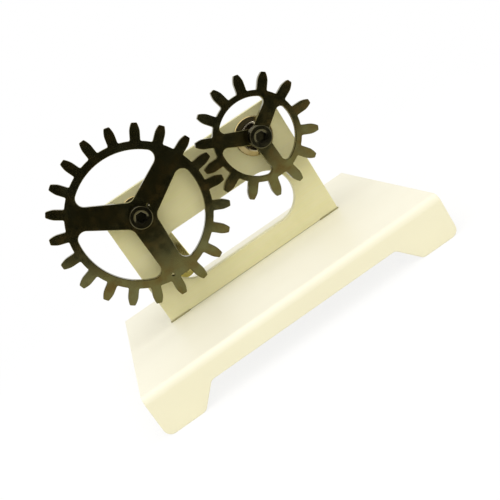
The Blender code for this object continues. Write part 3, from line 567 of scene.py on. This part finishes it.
def spring_pins():
    """Slit spring pins through the plate's tabs, under the stand's sheet."""
    inner = PIN_OUTER - PIN_WALL
    outer_turn, inner_turn = [asin(PIN_SLIT / 2 / radius) for radius in (PIN_OUTER, inner)]
    outline = slit_ring(PIN_OUTER, inner, outer_turn, inner_turn, -pi / 2)
    height = BASE_HEIGHT - BASE_SHEET - GAP - PIN_OUTER
    for side, name in ((-1, "left"), (1, "right")):
        mesh = flat([outline], PIN_LENGTH, PIN_EDGE, 1)
        place = facing_front(side * (PLATE_WIDTH - TAB_WIDTH) / 2, PLATE_FRONT + PLATE_SHEET / 2, height)
        piece("spring_pin_" + name, mesh, place, STEEL_LEFT, "stand", "tab_pin_" + name)


def half_angle(radius, pitch_radius, thickness):
    """Half a tooth's angle at a radius: involute above the base circle, even width below it."""
    base_radius = pitch_radius * cos(PRESSURE_ANGLE)
    at_base = thickness / 2 / pitch_radius + tan(PRESSURE_ANGLE) - PRESSURE_ANGLE
    if radius <= base_radius:
        return asin(base_radius * sin(at_base) / radius)
    pressure = acos(base_radius / radius)
    return at_base - (tan(pressure) - pressure)


def tooth(gear, turn):
    """One tooth's outline with its gaps' halves, anticlockwise, with its middle at the angle turn."""
    pitch_radius = MODULE * gear.teeth / 2
    root, tip = pitch_radius - gear.dedendum * MODULE, pitch_radius + gear.addendum * MODULE
    width = gear.thickness * MODULE
    base_radius = pitch_radius * cos(PRESSURE_ANGLE)
    gap_middle = pi / gear.teeth
    side = [(root, gap_middle, 0.0), (root, (gap_middle + half_angle(root, pitch_radius, width)) / 2, 0.0),
            (root, half_angle(root, pitch_radius, width), ROOT_FILLET)]
    flank = [base_radius + (tip - FLANK_TOP - base_radius) * i / FLANK_STEPS for i in range(FLANK_STEPS + 1)]
    side += [(radius, half_angle(radius, pitch_radius, width), 0.0) for radius in flank]
    side.append((tip, half_angle(tip, pitch_radius, width), TIP_CORNER))
    both = [(r, -t, c) for r, t, c in side] + [(r, t, c) for r, t, c in reversed(side)]
    corners = [(r * cos(t + turn), r * sin(t + turn), c) for r, t, c in both]
    return rounded(corners, radians(11))[:-1]


def window(gear):
    """Window between two tapering spokes, with a round corner at the shaft and two at the rim."""
    to_edge = pi / SPOKES
    slope = to_edge + SPOKE_TAPER
    along = Vector((cos(slope), sin(slope)))
    across = Vector((sin(slope), -cos(slope)))
    start = Vector((sin(to_edge), -cos(to_edge))) * gear.spoke / 2
    nose = start - along * (start.y / along.y)
    centre = Vector((nose.x + gear.hub_corner / sin(slope), 0.0))
    half = arc(centre, gear.hub_corner, pi, pi / 2 + slope)
    rim_radius = MODULE * (gear.teeth / 2 - gear.dedendum) - gear.rim
    foot = start + across * gear.rim_corner
    reach = rim_radius - gear.rim_corner
    cross = foot.dot(along)
    corner = foot + along * (-cross + sqrt(cross * cross - foot.length_squared + reach * reach))
    rim_turn = atan2(corner.y, corner.x)
    half += arc(corner, gear.rim_corner, pi / 2 + slope, rim_turn)
    half += arc((0, 0), rim_radius, rim_turn, 0.0)[1:]
    points = half + [(x, -y) for x, y in reversed(half[1:-1])]
    middle = gear.turn + gear.spoke_turn + to_edge
    c, s = cos(middle), sin(middle)
    return [(x * c - y * s, x * s + y * c) for x, y in points]


def clockwise(outline):
    area = sum(a[0] * b[1] - b[0] * a[1] for a, b in zip(outline, outline[1:] + outline[:1]))
    return outline if area < 0 else outline[::-1]


def points_object(name, points):
    """Loose points in their order, which a tree reads by their index."""
    return linked(name, mesh_of(name, [(*p, 0.0) for p in points]))


def tree_with(name, **sockets):
    """A geometry tree with a geometry in and out and these named inputs."""
    tree = bpy.data.node_groups.new(name, "GeometryNodeTree")
    tree.interface.new_socket("Geometry", in_out="OUTPUT", socket_type="NodeSocketGeometry")
    tree.interface.new_socket("Geometry", in_out="INPUT", socket_type="NodeSocketGeometry")
    for label, kind in sockets.items():
        tree.interface.new_socket(label, in_out="INPUT", socket_type="NodeSocket" + kind)
    return tree, tree.nodes.new("NodeGroupInput").outputs


def ended(tree, geometry, material):
    """Ends a tree with its copies made real, its seams welded and its material set."""
    real = add(tree, "GeometryNodeRealizeInstances", Geometry=geometry)
    joined = add(tree, "GeometryNodeMergeByDistance", Geometry=real, Distance=RULE_WELD)
    done = add(tree, "GeometryNodeSetMaterial", Geometry=joined, Material=material)
    add(tree, "NodeGroupOutput", Geometry=done)
    return tree


def grown(tree, **values):
    """Runs a tree with these values for its named inputs and returns the plain mesh."""
    item = linked("grown", bpy.data.meshes.new("grown"))
    change = item.modifiers.new("rule", "NODES")
    change.node_group = tree
    for socket in tree.interface.items_tree:
        if socket.name in values:
            change[socket.identifier] = values[socket.name]
    mesh = evaluated(item)
    discard(item)
    for value in values.values():
        if isinstance(value, bpy.types.Object):
            discard(value)
    return welded(mesh)


def gear_tree():
    """One tooth repeated round the gear, one window repeated between the spokes, plain holes, and
    a sheet of steel grown between them with its edges broken round."""
    tree, given = tree_with("spoked_gear_rule", Tooth="Object", Teeth="Int", Window="Object", Spokes="Int",
                            Holes="Object", Sheet="Float", Edge="Float", Material="Material")
    one_tooth, one_window, holes = [
        add(tree, "GeometryNodeObjectInfo", Object=given[label]).outputs["Geometry"]
        for label in ("Tooth", "Window", "Holes")]
    size = add(tree, "GeometryNodeAttributeDomainSize", Geometry=one_tooth, component="MESH")
    each = size.outputs["Point Count"]
    total = add(tree, MATH, each, given["Teeth"], operation="MULTIPLY")
    line = add(tree, "GeometryNodeCurvePrimitiveCircle", Resolution=total)
    index = add(tree, "GeometryNodeInputIndex")
    within = add(tree, MATH, index, each, operation="FLOORED_MODULO")
    share = add(tree, MATH, index, each, operation="DIVIDE")
    which = add(tree, MATH, share, operation="FLOOR")
    step = add(tree, MATH, 2 * pi, given["Teeth"], operation="DIVIDE")
    turn = add(tree, MATH, which, step, operation="MULTIPLY")
    here = add(tree, "GeometryNodeInputPosition")
    found = add(tree, "GeometryNodeSampleIndex", Geometry=one_tooth, Value=here, Index=within,
                data_type="FLOAT_VECTOR", domain="POINT")
    placed = add(tree, "ShaderNodeVectorRotate", Vector=found, Angle=turn, rotation_type="Z_AXIS")
    teeth = add(tree, "GeometryNodeSetPosition", Geometry=line, Position=placed)

    spots = add(tree, "GeometryNodePoints", Count=given["Spokes"])
    spoke_step = add(tree, MATH, 2 * pi, given["Spokes"], operation="DIVIDE")
    spoke_turn = add(tree, MATH, index, spoke_step, operation="MULTIPLY")
    about = add(tree, "ShaderNodeCombineXYZ", Z=spoke_turn)
    copies = add(tree, "GeometryNodeInstanceOnPoints", Points=spots, Instance=one_window, Rotation=about)
    windows = add(tree, "GeometryNodeRealizeInstances", Geometry=copies)
    outlines = add(tree, "GeometryNodeJoinGeometry")
    for part in (holes, windows.outputs[0], teeth.outputs[0]):
        tree.links.new(part, outlines.inputs[0])
    cut = add(tree, "GeometryNodeSetCurveNormal", Curve=outlines, mode="Z_UP")

    half = add(tree, MATH, given["Sheet"], 2.0, operation="DIVIDE")
    below = add(tree, MATH, half, -1.0, operation="MULTIPLY")
    inward = add(tree, MATH, given["Edge"], -1.0, operation="MULTIPLY")
    corners = {f"Point {i + 1}": add(tree, "ShaderNodeCombineXYZ", x, y) for i, (x, y) in enumerate((
        (inward, half), (0.0, half), (0.0, below), (inward, below)))}
    wall = add(tree, "GeometryNodeCurvePrimitiveQuadrilateral", mode="POINTS", **corners)
    opened = add(tree, "GeometryNodeSetSplineCyclic", Geometry=wall, Cyclic=False)
    profile = add(tree, "GeometryNodeFilletCurve", Curve=opened, Radius=given["Edge"], Count=3, mode="POLY")
    sides = add(tree, "GeometryNodeCurveToMesh", Curve=cut, Profile_Curve=profile)
    normal = add(tree, "GeometryNodeInputNormal")
    drawn_in = add(tree, "ShaderNodeVectorMath", normal, inward, operation="SCALE")
    inset = add(tree, "GeometryNodeSetPosition", Geometry=cut, Offset=drawn_in)
    face = add(tree, "GeometryNodeFillCurve", Curve=inset)
    solid = add(tree, "GeometryNodeJoinGeometry")
    for height in (half, below):
        shift = add(tree, "ShaderNodeCombineXYZ", Z=height)
        cap = add(tree, "GeometryNodeTransform", Geometry=face, Translation=shift)
        tree.links.new(cap.outputs[0], solid.inputs[0])
    tree.links.new(sides.outputs[0], solid.inputs[0])
    return ended(tree, solid, given["Material"])


def spoked_gears():
    tree = gear_tree()
    extra = [circle(radius, (reach * cos(turn), reach * sin(turn)), 24) for radius, reach, turn in (
        (DRIVE_PIN_HOLE, DRIVE_PIN_REACH, DRIVE_PIN_TURN), (JIG_HOLE, JIG_HOLE_REACH, JIG_HOLE_TURN))]
    for name, gear in GEARS.items():
        holes = [circle(GEAR_SCREW.shank + GAP, count=48)] + (extra if name == "large" else [])
        # The material is on the left of each outline, so the windows and holes run clockwise.
        mesh = grown(tree, Tooth=points_object("tooth", tooth(gear, pi + gear.turn)), Teeth=gear.teeth,
                     Window=curve_of("window", [clockwise(window(gear))]), Spokes=SPOKES,
                     Holes=curve_of("holes", [clockwise(hole) for hole in holes]),
                     Sheet=GEAR_SHEET, Edge=BROKEN, Material=GEAR_STEEL[0])
        piece(name + "_spoked_gear", mesh, on_shaft(gear.x, (GEAR_FRONT + GEAR_BACK) / 2), GEAR_STEEL,
              gear.body, name + "_gear")


def knurl_tree():
    """A turned head whose side carries a diamond knurl: a profile repeated round the axis, pressed
    in between two heights."""
    tree, given = tree_with("knurled_head_rule", Profile="Object", Ridges="Int", Depth="Float", Low="Float",
                            High="Float", Lean="Float", Material="Material")
    line = add(tree, "GeometryNodeObjectInfo", Object=given["Profile"]).outputs["Geometry"]
    size = add(tree, "GeometryNodeAttributeDomainSize", Geometry=line, component="MESH")
    rows = size.outputs["Point Count"]
    around = add(tree, MATH, given["Ridges"], 6.0, 1.0, operation="MULTIPLY_ADD")
    grid = add(tree, "GeometryNodeMeshGrid", Size_X=1.0, Size_Y=1.0, Vertices_X=around, Vertices_Y=rows)
    position = add(tree, "GeometryNodeInputPosition")
    here = add(tree, "ShaderNodeSeparateXYZ", position)
    across = add(tree, MATH, here.outputs["X"], 0.5, operation="ADD")
    angle = add(tree, MATH, across, 2 * pi, operation="MULTIPLY")
    up = add(tree, MATH, here.outputs["Y"], 0.5, operation="ADD")
    last = add(tree, MATH, rows, 1.0, operation="SUBTRACT")
    row = add(tree, MATH, up, last, operation="MULTIPLY")
    whole = add(tree, MATH, row, operation="ROUND")
    found = add(tree, "GeometryNodeSampleIndex", Geometry=line, Value=position, Index=whole,
                data_type="FLOAT_VECTOR", domain="POINT")
    at = add(tree, "ShaderNodeSeparateXYZ", found)
    ridge = add(tree, MATH, angle, given["Ridges"], operation="MULTIPLY")
    climb = add(tree, MATH, at.outputs["Y"], given["Lean"], operation="MULTIPLY")
    phases = [add(tree, MATH, ridge, climb, operation=way) for way in ("ADD", "SUBTRACT")]
    waves = [add(tree, MATH, phase, operation="COSINE") for phase in phases]
    crossed = add(tree, MATH, waves[0], waves[1], operation="ADD")
    pressed = add(tree, RANGE, Value=crossed, From_Min=-2.0, From_Max=2.0, To_Min=1.0, To_Max=0.0)
    above = add(tree, MATH, at.outputs["Y"], given["Low"], operation="GREATER_THAN")
    under = add(tree, MATH, at.outputs["Y"], given["High"], operation="LESS_THAN")
    inside = add(tree, MATH, above, under, operation="MULTIPLY")
    press = add(tree, MATH, pressed, inside, operation="MULTIPLY")
    deep = add(tree, MATH, press, given["Depth"], operation="MULTIPLY")
    radius = add(tree, MATH, at.outputs["X"], deep, operation="SUBTRACT")
    flat_point = add(tree, "ShaderNodeCombineXYZ", X=radius, Z=at.outputs["Y"])
    placed = add(tree, "ShaderNodeVectorRotate", Vector=flat_point, Angle=angle, rotation_type="Z_AXIS")
    head = add(tree, "GeometryNodeSetPosition", Geometry=grid, Position=placed)
    return ended(tree, head, given["Material"])


def cap_screw(name, tree, screw, x, seat, tip, body, node, away=False):
    """Socket head cap screw, with its head's underside at the seat and its end at the tip. Its
    local Z points out of the head, to the front or away from it."""
    head, height, half_flats = screw.head, screw.height, screw.flats / 2
    length = abs(tip - seat)
    mouth = half_flats + screw.bevel
    edge = HEAD_EDGE * head
    side_rows = [(head, height - 2 * edge - (height - 3 * edge) * i / 12) for i in range(13)]
    profile = [(0.0, height), (mouth, height),
               *arc((head - edge, height - edge), edge, pi / 2, 0, radians(15)),
               *side_rows, *arc((head - edge / 3, edge / 3), edge / 3, 0, -pi / 2, radians(30)),
               (screw.shank, 0.0), (screw.shank, BROKEN - length), (screw.shank - BROKEN, -length),
               (0.0, -length)]
    mesh = grown(tree, Profile=points_object("profile", profile), Ridges=screw.ridges,
                 Depth=KNURL_DEPTH * head, Low=1.2 * edge, High=height - 2.2 * edge,
                 Lean=screw.ridges / head, Material=SCREW_STEEL[0])
    mesh = combined(mesh, prism(hexagon(screw.flats), height - screw.depth, height + screw.depth))
    # A dished mouth, which shows as a thin ring with one bright side
    dish = 0.35 * screw.bevel
    cone = turned([(0.0, height + dish, 0), (2 * mouth - half_flats, height + dish, 0),
                   (half_flats, height - dish, 0), (0.0, height - dish, 0)])
    turn = Matrix.Rotation(pi, 4, "Y") if away else Matrix()
    piece(name, combined(mesh, cone), on_shaft(x, seat) @ turn, SCREW_STEEL, body, node)


def split_washer(name, x, body, node):
    """Spring lock washer, pressed flat, with its slit leaning."""
    outline = slit_ring(GEAR_SCREW.head, GEAR_SCREW.shank + GAP, WASHER_SLIT, WASHER_SLIT, lean=WASHER_LEAN)
    mesh = flat([outline], WASHER_FRONT - WASHER_BACK, FINE_BROKEN, 1)
    place = on_shaft(x, (WASHER_FRONT + WASHER_BACK) / 2)
    piece(name, mesh, place, SCREW_STEEL, body, node)


def bush(side, node, x, flange, bronze, steel):
    """Flanged bush with a sloping flange face, and its thin chamfered nut behind the plate."""
    corner_back = FLANGE_FRONT - FLANGE_DROP - FLANGE_CORNER
    mesh = turned([
        (BORE, FLANGE_FRONT, BROKEN), (flange - FLANGE_SLOPE, FLANGE_FRONT, FINE_BROKEN),
        (flange - FLANGE_CORNER, FLANGE_FRONT - FLANGE_DROP, FINE_BROKEN), (flange, corner_back, FINE_BROKEN),
        (flange, GAP, FINE_BROKEN), (BUSH_RADIUS, GAP, 0), (BUSH_RADIUS, BARREL_BACK, 0.0003),
        (BORE, BARREL_BACK, BROKEN)])
    piece("flanged_bush_" + side, mesh, on_shaft(x), bronze, "stand", node)
    body = prism(hexagon(NUT_FLATS), NUT_BACK, NUT_FRONT)
    corner = hexagon(NUT_FLATS)[0][0]
    wide, narrow = corner + NUT_CHAMFER_OUT, corner - NUT_CHAMFER_IN
    low, high = NUT_BACK - BEYOND, NUT_FRONT + BEYOND
    chamfered = turned([
        (0.0, high, 0), (narrow, high, 0), (wide, NUT_FRONT - NUT_CHAMFER, 0),
        (wide, NUT_BACK + NUT_CHAMFER, 0), (narrow, low, 0), (0.0, low, 0)])
    # Turned a degree, so that no edge of the cone meets a corner of the hexagon
    chamfered.transform(Matrix.Rotation(radians(1), 4, "Z"))
    hole = BUSH_RADIUS + GAP
    bore = turned([(0.0, high, 0), (hole, high, 0), (hole, low, 0), (0.0, low, 0)])
    mesh = combined(combined(body, chamfered, "INTERSECT"), bore)
    piece("bush_nut_" + side, mesh, on_shaft(x), steel, "stand", node + "_nut")


def ring(name, x, inner, outer, front, back, edge, steel, body, node):
    corners = [(inner, front, edge / 2), (outer, front, edge), (outer, back, edge), (inner, back, edge / 2)]
    piece(name, turned(corners), on_shaft(x), steel, body, node)


def with_highlight_chamfers(mesh):
    """Marks the sloping faces of a turned ring for pale steel: a painted highlight on the chamfers."""
    values = [0.65 if 0.3 < abs(face.normal.z) < 0.95 else 0.0 for face in mesh.polygons]
    mesh.attributes.new("bare_and_highlight", "FLOAT", "FACE").data.foreach_set("value", values)
    return mesh


def hub_pieces():
    """What stands between the gears and their bushes: a collar with its driving pin, and a spacer."""
    front, back, chamfer = SPACER_FRONT, SPACER_BACK, SPACER_CHAMFER
    collar, spacer = [turned([
        (NOSE_BORE, front, FINE_BROKEN), (radius - chamfer, front, 0), (radius, front - chamfer, 0),
        (radius, back + chamfer, 0), (radius - chamfer, back, 0), (NOSE_BORE, back, FINE_BROKEN)])
        for radius in (COLLAR_RADIUS, SPACER_RADIUS)]
    pin_place = Matrix.Translation((DRIVE_PIN_REACH * cos(DRIVE_PIN_TURN),
                                    DRIVE_PIN_REACH * sin(DRIVE_PIN_TURN), 0))
    pin_back = front - DRIVE_PIN_BITE
    hole = prism(circle(DRIVE_PIN_HOLE, count=24), pin_back - GAP, front + BEYOND)
    hole.transform(pin_place)
    # The collar's and the spacer's chamfers are pale steel, as a painted highlight
    piece("pinned_hub_collar", with_highlight_chamfers(combined(collar, hole)), on_shaft(LARGE_X), COLLAR_STEEL,
          "drive_train", "hub_collar")
    pin = turned([(0.0, GEAR_FRONT, 0), (DRIVE_PIN_RADIUS, GEAR_FRONT, 0.0004),
                  (DRIVE_PIN_RADIUS, pin_back, 0.00015), (0.0, pin_back, 0)], 32)
    piece("driving_pin", pin, on_shaft(LARGE_X) @ pin_place, STEEL_LEFT, "drive_train", "drive_pin")
    piece("small_gear_spacer", with_highlight_chamfers(spacer), on_shaft(SMALL_X), COLLAR_STEEL, "driven_train",
          "gear_spacer")


def shaft_nose():
    """A shaft's front end: threaded hole, nose inside the spacer, shoulder at the bush."""
    hole, thread, nose = SCREW_TIP - GAP, GEAR_SCREW.shank + GAP, SPACER_FRONT - GAP
    return [(0.0, hole, 0), (thread, hole, 0), (thread, nose, FINE_BROKEN), (NOSE_RADIUS, nose, BROKEN),
            (NOSE_RADIUS, FLANGE_FRONT, 0), (SHAFT_RADIUS, FLANGE_FRONT, BROKEN)]


def driving_shaft():
    """Shaft of the large gear, with two flats at its rear end that carry the crank arm."""
    step, end = ARM_FRONT + GAP, ARM_BACK + GAP
    hole, thread = ARM_SCREW_TIP + GAP, ARM_SCREW.shank + GAP
    mesh = turned([*shaft_nose(), (SHAFT_RADIUS, step, BROKEN), (SEAT_RADIUS, step, 0),
                   (SEAT_RADIUS, end, BROKEN), (thread, end, FINE_BROKEN), (thread, hole, 0), (0.0, hole, 0)])
    for sign in (-1, 1):
        across = (sign * SEAT_FLAT, sign * 3 * SEAT_RADIUS)
        flat_cut = block(across, (-2 * SEAT_RADIUS, 2 * SEAT_RADIUS), (2 * end - step, step))
        flat_cut.transform(Matrix.Rotation(CRANK_TILT, 4, "Z"))
        mesh = combined(mesh, flat_cut)
    piece("driving_shaft", mesh, on_shaft(LARGE_X), STEEL_LEFT, "drive_train", "drive_shaft")


def driven_shaft():
    """Shaft of the small gear, and the collar that keeps it in its bush, with its grub screw."""
    front = THRUST_BACK - GAP
    back = front - KEEPER_LENGTH
    end = back - KEEPER_EDGE
    shaft = turned([*shaft_nose(), (SHAFT_RADIUS, end, KEEPER_EDGE), (0.0, end, 0)])
    piece("driven_plain_shaft", shaft, on_shaft(SMALL_X), STEEL_RIGHT, "driven_train", "driven_shaft")
    keeper = turned([(BORE, front, BROKEN), (KEEPER_RADIUS, front, KEEPER_EDGE),
                     (KEEPER_RADIUS, back, KEEPER_EDGE), (BORE, back, BROKEN)])
    upward = Matrix.Translation((0, 0, (front + back) / 2)) @ Matrix.Rotation(radians(-90), 4, "X")
    hole = prism(circle(KEEPER_SCREW_RADIUS + GAP, count=48), SHAFT_RADIUS - 0.0005, KEEPER_RADIUS + BEYOND)
    hole.transform(upward)
    piece("shaft_keeper", combined(keeper, hole), on_shaft(SMALL_X), STEEL_RIGHT, "driven_train",
          "rear_collar")
    top = KEEPER_RADIUS - KEEPER_EDGE
    screw = turned([(0.0, top, 0), (KEEPER_SCREW_RADIUS, top, BROKEN), (KEEPER_SCREW_RADIUS, BORE, 0.0003),
                    (0.0, BORE, 0)], 48)
    screw = combined(screw, prism(hexagon(KEEPER_SOCKET_FLATS), top - KEEPER_SOCKET_DEPTH, top + BEYOND))
    screw.transform(upward)
    piece("keeper_grub_screw", screw, on_shaft(SMALL_X), SCREW_STEEL, "driven_train", "rear_collar_screw")


def crank_arm(place):
    half = ARM_WIDTH / 2
    outline = arc((0, 0), half, 0, pi) + arc((0, -CRANK_THROW), half, pi, 2 * pi)
    seat = SEAT_RADIUS + GAP
    flat_turn = acos((SEAT_FLAT + GAP) / seat)
    keyed = (arc((0, 0), seat, flat_turn, pi - flat_turn)
             + arc((0, 0), seat, pi + flat_turn, 2 * pi - flat_turn))
    mesh = flat([outline, keyed, circle(CRANK_THREAD_RADIUS + GAP, (0, -CRANK_THROW), 48)],
                ARM_FRONT - ARM_BACK, 0.0003)
    middle = Matrix.Translation((0, 0, (ARM_FRONT + ARM_BACK) / 2))
    piece("crank_arm_bar", mesh, place @ middle, BRASS, "drive_train", "crank_arm")
    ring("arm_washer", LARGE_X, ARM_SCREW.shank + GAP, ARM_WASHER_RADIUS, ARM_BACK - GAP,
         ARM_BACK - GAP - ARM_WASHER, FINE_BROKEN, STEEL_LEFT, "drive_train", "crank_arm_washer")


def crank_pin_and_grip(place):
    """Shouldered pin with a slotted head, and the grip that turns on it."""
    shoulder = ARM_BACK - GAP
    front = shoulder - GAP
    back = front - GRIP_LENGTH
    head_at = back - GAP
    end = head_at - CRANK_HEAD
    pin = turned([
        (0.0, ARM_FRONT, 0), (CRANK_THREAD_RADIUS, ARM_FRONT, BROKEN), (CRANK_THREAD_RADIUS, shoulder, 0),
        (CRANK_PIN_RADIUS, shoulder, FINE_BROKEN), (CRANK_PIN_RADIUS, head_at, 0),
        (CRANK_HEAD_RADIUS, head_at, BROKEN), (CRANK_HEAD_RADIUS, end, CRANK_HEAD_EDGE), (0.0, end, 0)])
    reach = 1.5 * CRANK_HEAD_RADIUS
    slot = block((-reach, reach), (-CRANK_SLOT / 2, CRANK_SLOT / 2), (end - BEYOND, end + CRANK_SLOT_DEPTH))
    piece("crank_pin_slotted", combined(pin, slot), place, STEEL_PIN, "drive_train", "crank_pin")
    inner, flat_end = CRANK_PIN_RADIUS + GAP, GRIP_RADIUS - GRIP_END
    grip = turned([
        (inner, front, BROKEN), (flat_end, front, GRIP_END),
        (GRIP_RADIUS, front - 2 * GRIP_END, GRIP_SHOULDER),
        (GRIP_RADIUS - GRIP_WAIST, (front + back) / 2, GRIP_WAIST_CURVE),
        (GRIP_RADIUS, back + 2 * GRIP_END, GRIP_SHOULDER), (flat_end, back, GRIP_END), (inner, back, BROKEN)],
        step=radians(1.5))
    piece("turning_grip", grip, place, PHENOLIC, "grip", "crank_grip")


def seen_rays(tree):
    """1 for the rays of the camera, mirrors and glass, and 0 for those that only bring light."""
    rays = add(tree, "ShaderNodeLightPath").outputs
    mirror = add(tree, MATH, rays["Is Glossy Ray"], rays["Is Transmission Ray"], operation="MAXIMUM")
    return add(tree, MATH, rays["Is Camera Ray"], mirror, operation="MAXIMUM")


def emptied(owner):
    owner.use_nodes = True
    owner.node_tree.nodes.clear()
    return owner.node_tree


def white_floor():
    """Pale matt paper, which camera and mirrors see as nearly white."""
    paper = bpy.data.materials.new("white_paper")
    tree = emptied(paper)
    seen = seen_rays(tree)
    # Pure white further out, so that the floor has no far edge; near the object it keeps a shadow.
    place = add(tree, "ShaderNodeTexCoord").outputs["Object"]
    reach = add(tree, "ShaderNodeVectorMath", place, operation="LENGTH")
    fade = add(tree, RANGE, Value=reach, From_Min=0.1, From_Max=0.26, To_Min=0.85, To_Max=1.0,
               interpolation_type="SMOOTHSTEP")
    share = add(tree, MATH, seen, fade, operation="MULTIPLY")
    tint = add(tree, MIX, seen, linear("ece8c8"), WHITE, data_type="RGBA")
    matt = add(tree, "ShaderNodeBsdfDiffuse", Color=tint)
    white = add(tree, "ShaderNodeEmission", Color=WHITE, Strength=1.0)
    mixed = add(tree, "ShaderNodeMixShader", share, matt, white)
    add(tree, "ShaderNodeOutputMaterial", Surface=mixed)
    far = 3.0
    mesh = mesh_of("floor", [(-far, -far, 0), (far, -far, 0), (far, far, 0), (-far, far, 0)], [(0, 1, 2, 3)])
    mesh.materials.append(paper)
    return linked("floor", mesh)


def dark_card():
    """A dark card in front, whose lower edge shows in the gears as the line from dark to olive."""
    line = [(-0.30, 0.16), (-0.079, 0.0385), (-0.062, 0.0235), (-0.041, 0.0115), (-0.02, 0.0085),
            (0.001, 0.0105), (0.022, 0.0148), (0.043, 0.0208), (0.074, 0.0300), (0.30, 0.1)]
    forward, top = -0.15, 0.6
    points = [(x, forward, z) for x, low in line for z in (low, top)]
    faces = [(2 * i, 2 * i + 2, 2 * i + 3, 2 * i + 1) for i in range(len(line) - 1)]
    mesh = mesh_of("dark_card", points, faces)
    felt, _ = shader("dark_felt", "3e404c", 0.0, 1.0)
    mesh.materials.append(felt)
    card = linked("dark_card", mesh)
    for rays in ("camera", "diffuse", "shadow", "transmission"):
        setattr(card, "visible_" + rays, False)
    return card


def softbox(name, size, energy, place):
    """A square lamp that faces the middle of the object."""
    lamp = bpy.data.lights.new(name, "AREA")
    lamp.size = size
    lamp.energy = energy
    lamp.color = (1.0, 0.97, 0.9)
    box = linked(name, lamp)
    box.location = place
    box.rotation_euler = (Vector((0, 0, 0.04)) - box.location).to_track_quat("-Z", "Y").to_euler()


def white_room():
    """The world: white where it is seen, and about half as strong for the light it gives."""
    world = bpy.data.worlds.new("white_room")
    bpy.context.scene.world = world
    tree = emptied(world)
    strength = add(tree, RANGE, Value=seen_rays(tree), To_Min=0.52, To_Max=1.0)
    light = add(tree, "ShaderNodeBackground", Color=WHITE, Strength=strength)
    add(tree, "ShaderNodeOutputWorld", Surface=light)


def studio():
    """Pale floor, soft lamps, a white room, and a dark card that only mirrors see."""
    floor, card = white_floor(), dark_card()
    softbox("overhead_softbox", 1.5, 11.2, (-0.12, -0.3, 1.0))
    softbox("front_softbox", 0.7, 1.5, (0.3, -1.1, 0.45))
    white_room()


def camera():
    """The photograph's viewing angle: low on the left of the front, and rolled by about 33 degrees."""
    lens = bpy.data.cameras.new("camera")
    lens.lens, lens.sensor_width = CAMERA_LENS, CAMERA_SENSOR
    lens.clip_start, lens.clip_end = 0.01, 20.0
    item = linked("camera", lens)
    item.location = CAMERA_PLACE
    item.rotation_mode = "QUATERNION"
    item.rotation_quaternion = CAMERA_TURN
    bpy.context.scene.camera = item


folded_stand()
slotted_plate()
spring_pins()
spoked_gears()
KNURL = knurl_tree()
for word, gear in GEARS.items():
    cap_screw(word + "_cap_screw", KNURL, GEAR_SCREW, gear.x, HEAD_BACK, SCREW_TIP, gear.body,
              word + "_gear_screw")
    split_washer(word + "_split_washer", gear.x, gear.body, word + "_lock_washer")
cap_screw("crank_cap_screw", KNURL, ARM_SCREW, LARGE_X, ARM_BACK - GAP - ARM_WASHER - GAP, ARM_SCREW_TIP,
          "drive_train", "crank_arm_screw", away=True)
SHAFTS = (("left", "drive", LARGE_X, LEFT_FLANGE, BRONZE_LEFT, STEEL_LEFT),
          ("right", "driven", SMALL_X, RIGHT_FLANGE, BRONZE_RIGHT, STEEL_RIGHT))
for side, train, x, flange, bronze, steel in SHAFTS:
    bush(side, train + "_bush", x, flange, bronze, steel)
hub_pieces()
for side, train, x, flange, bronze, steel in SHAFTS:
    ring("thrust_ring_" + side, x, BORE, THRUST_RADIUS, THRUST_FRONT, THRUST_BACK, FINE_BROKEN, steel,
         train + "_train", train + "_thrust_washer")
driving_shaft()
driven_shaft()
arm_place = on_shaft(LARGE_X) @ Matrix.Rotation(CRANK_TILT, 4, "Z")
crank_arm(arm_place)
crank_pin_and_grip(arm_place @ Matrix.Translation((0, -CRANK_THROW, 0)))
studio()
camera()
bpy.context.scene.view_settings.view_transform = "Standard"
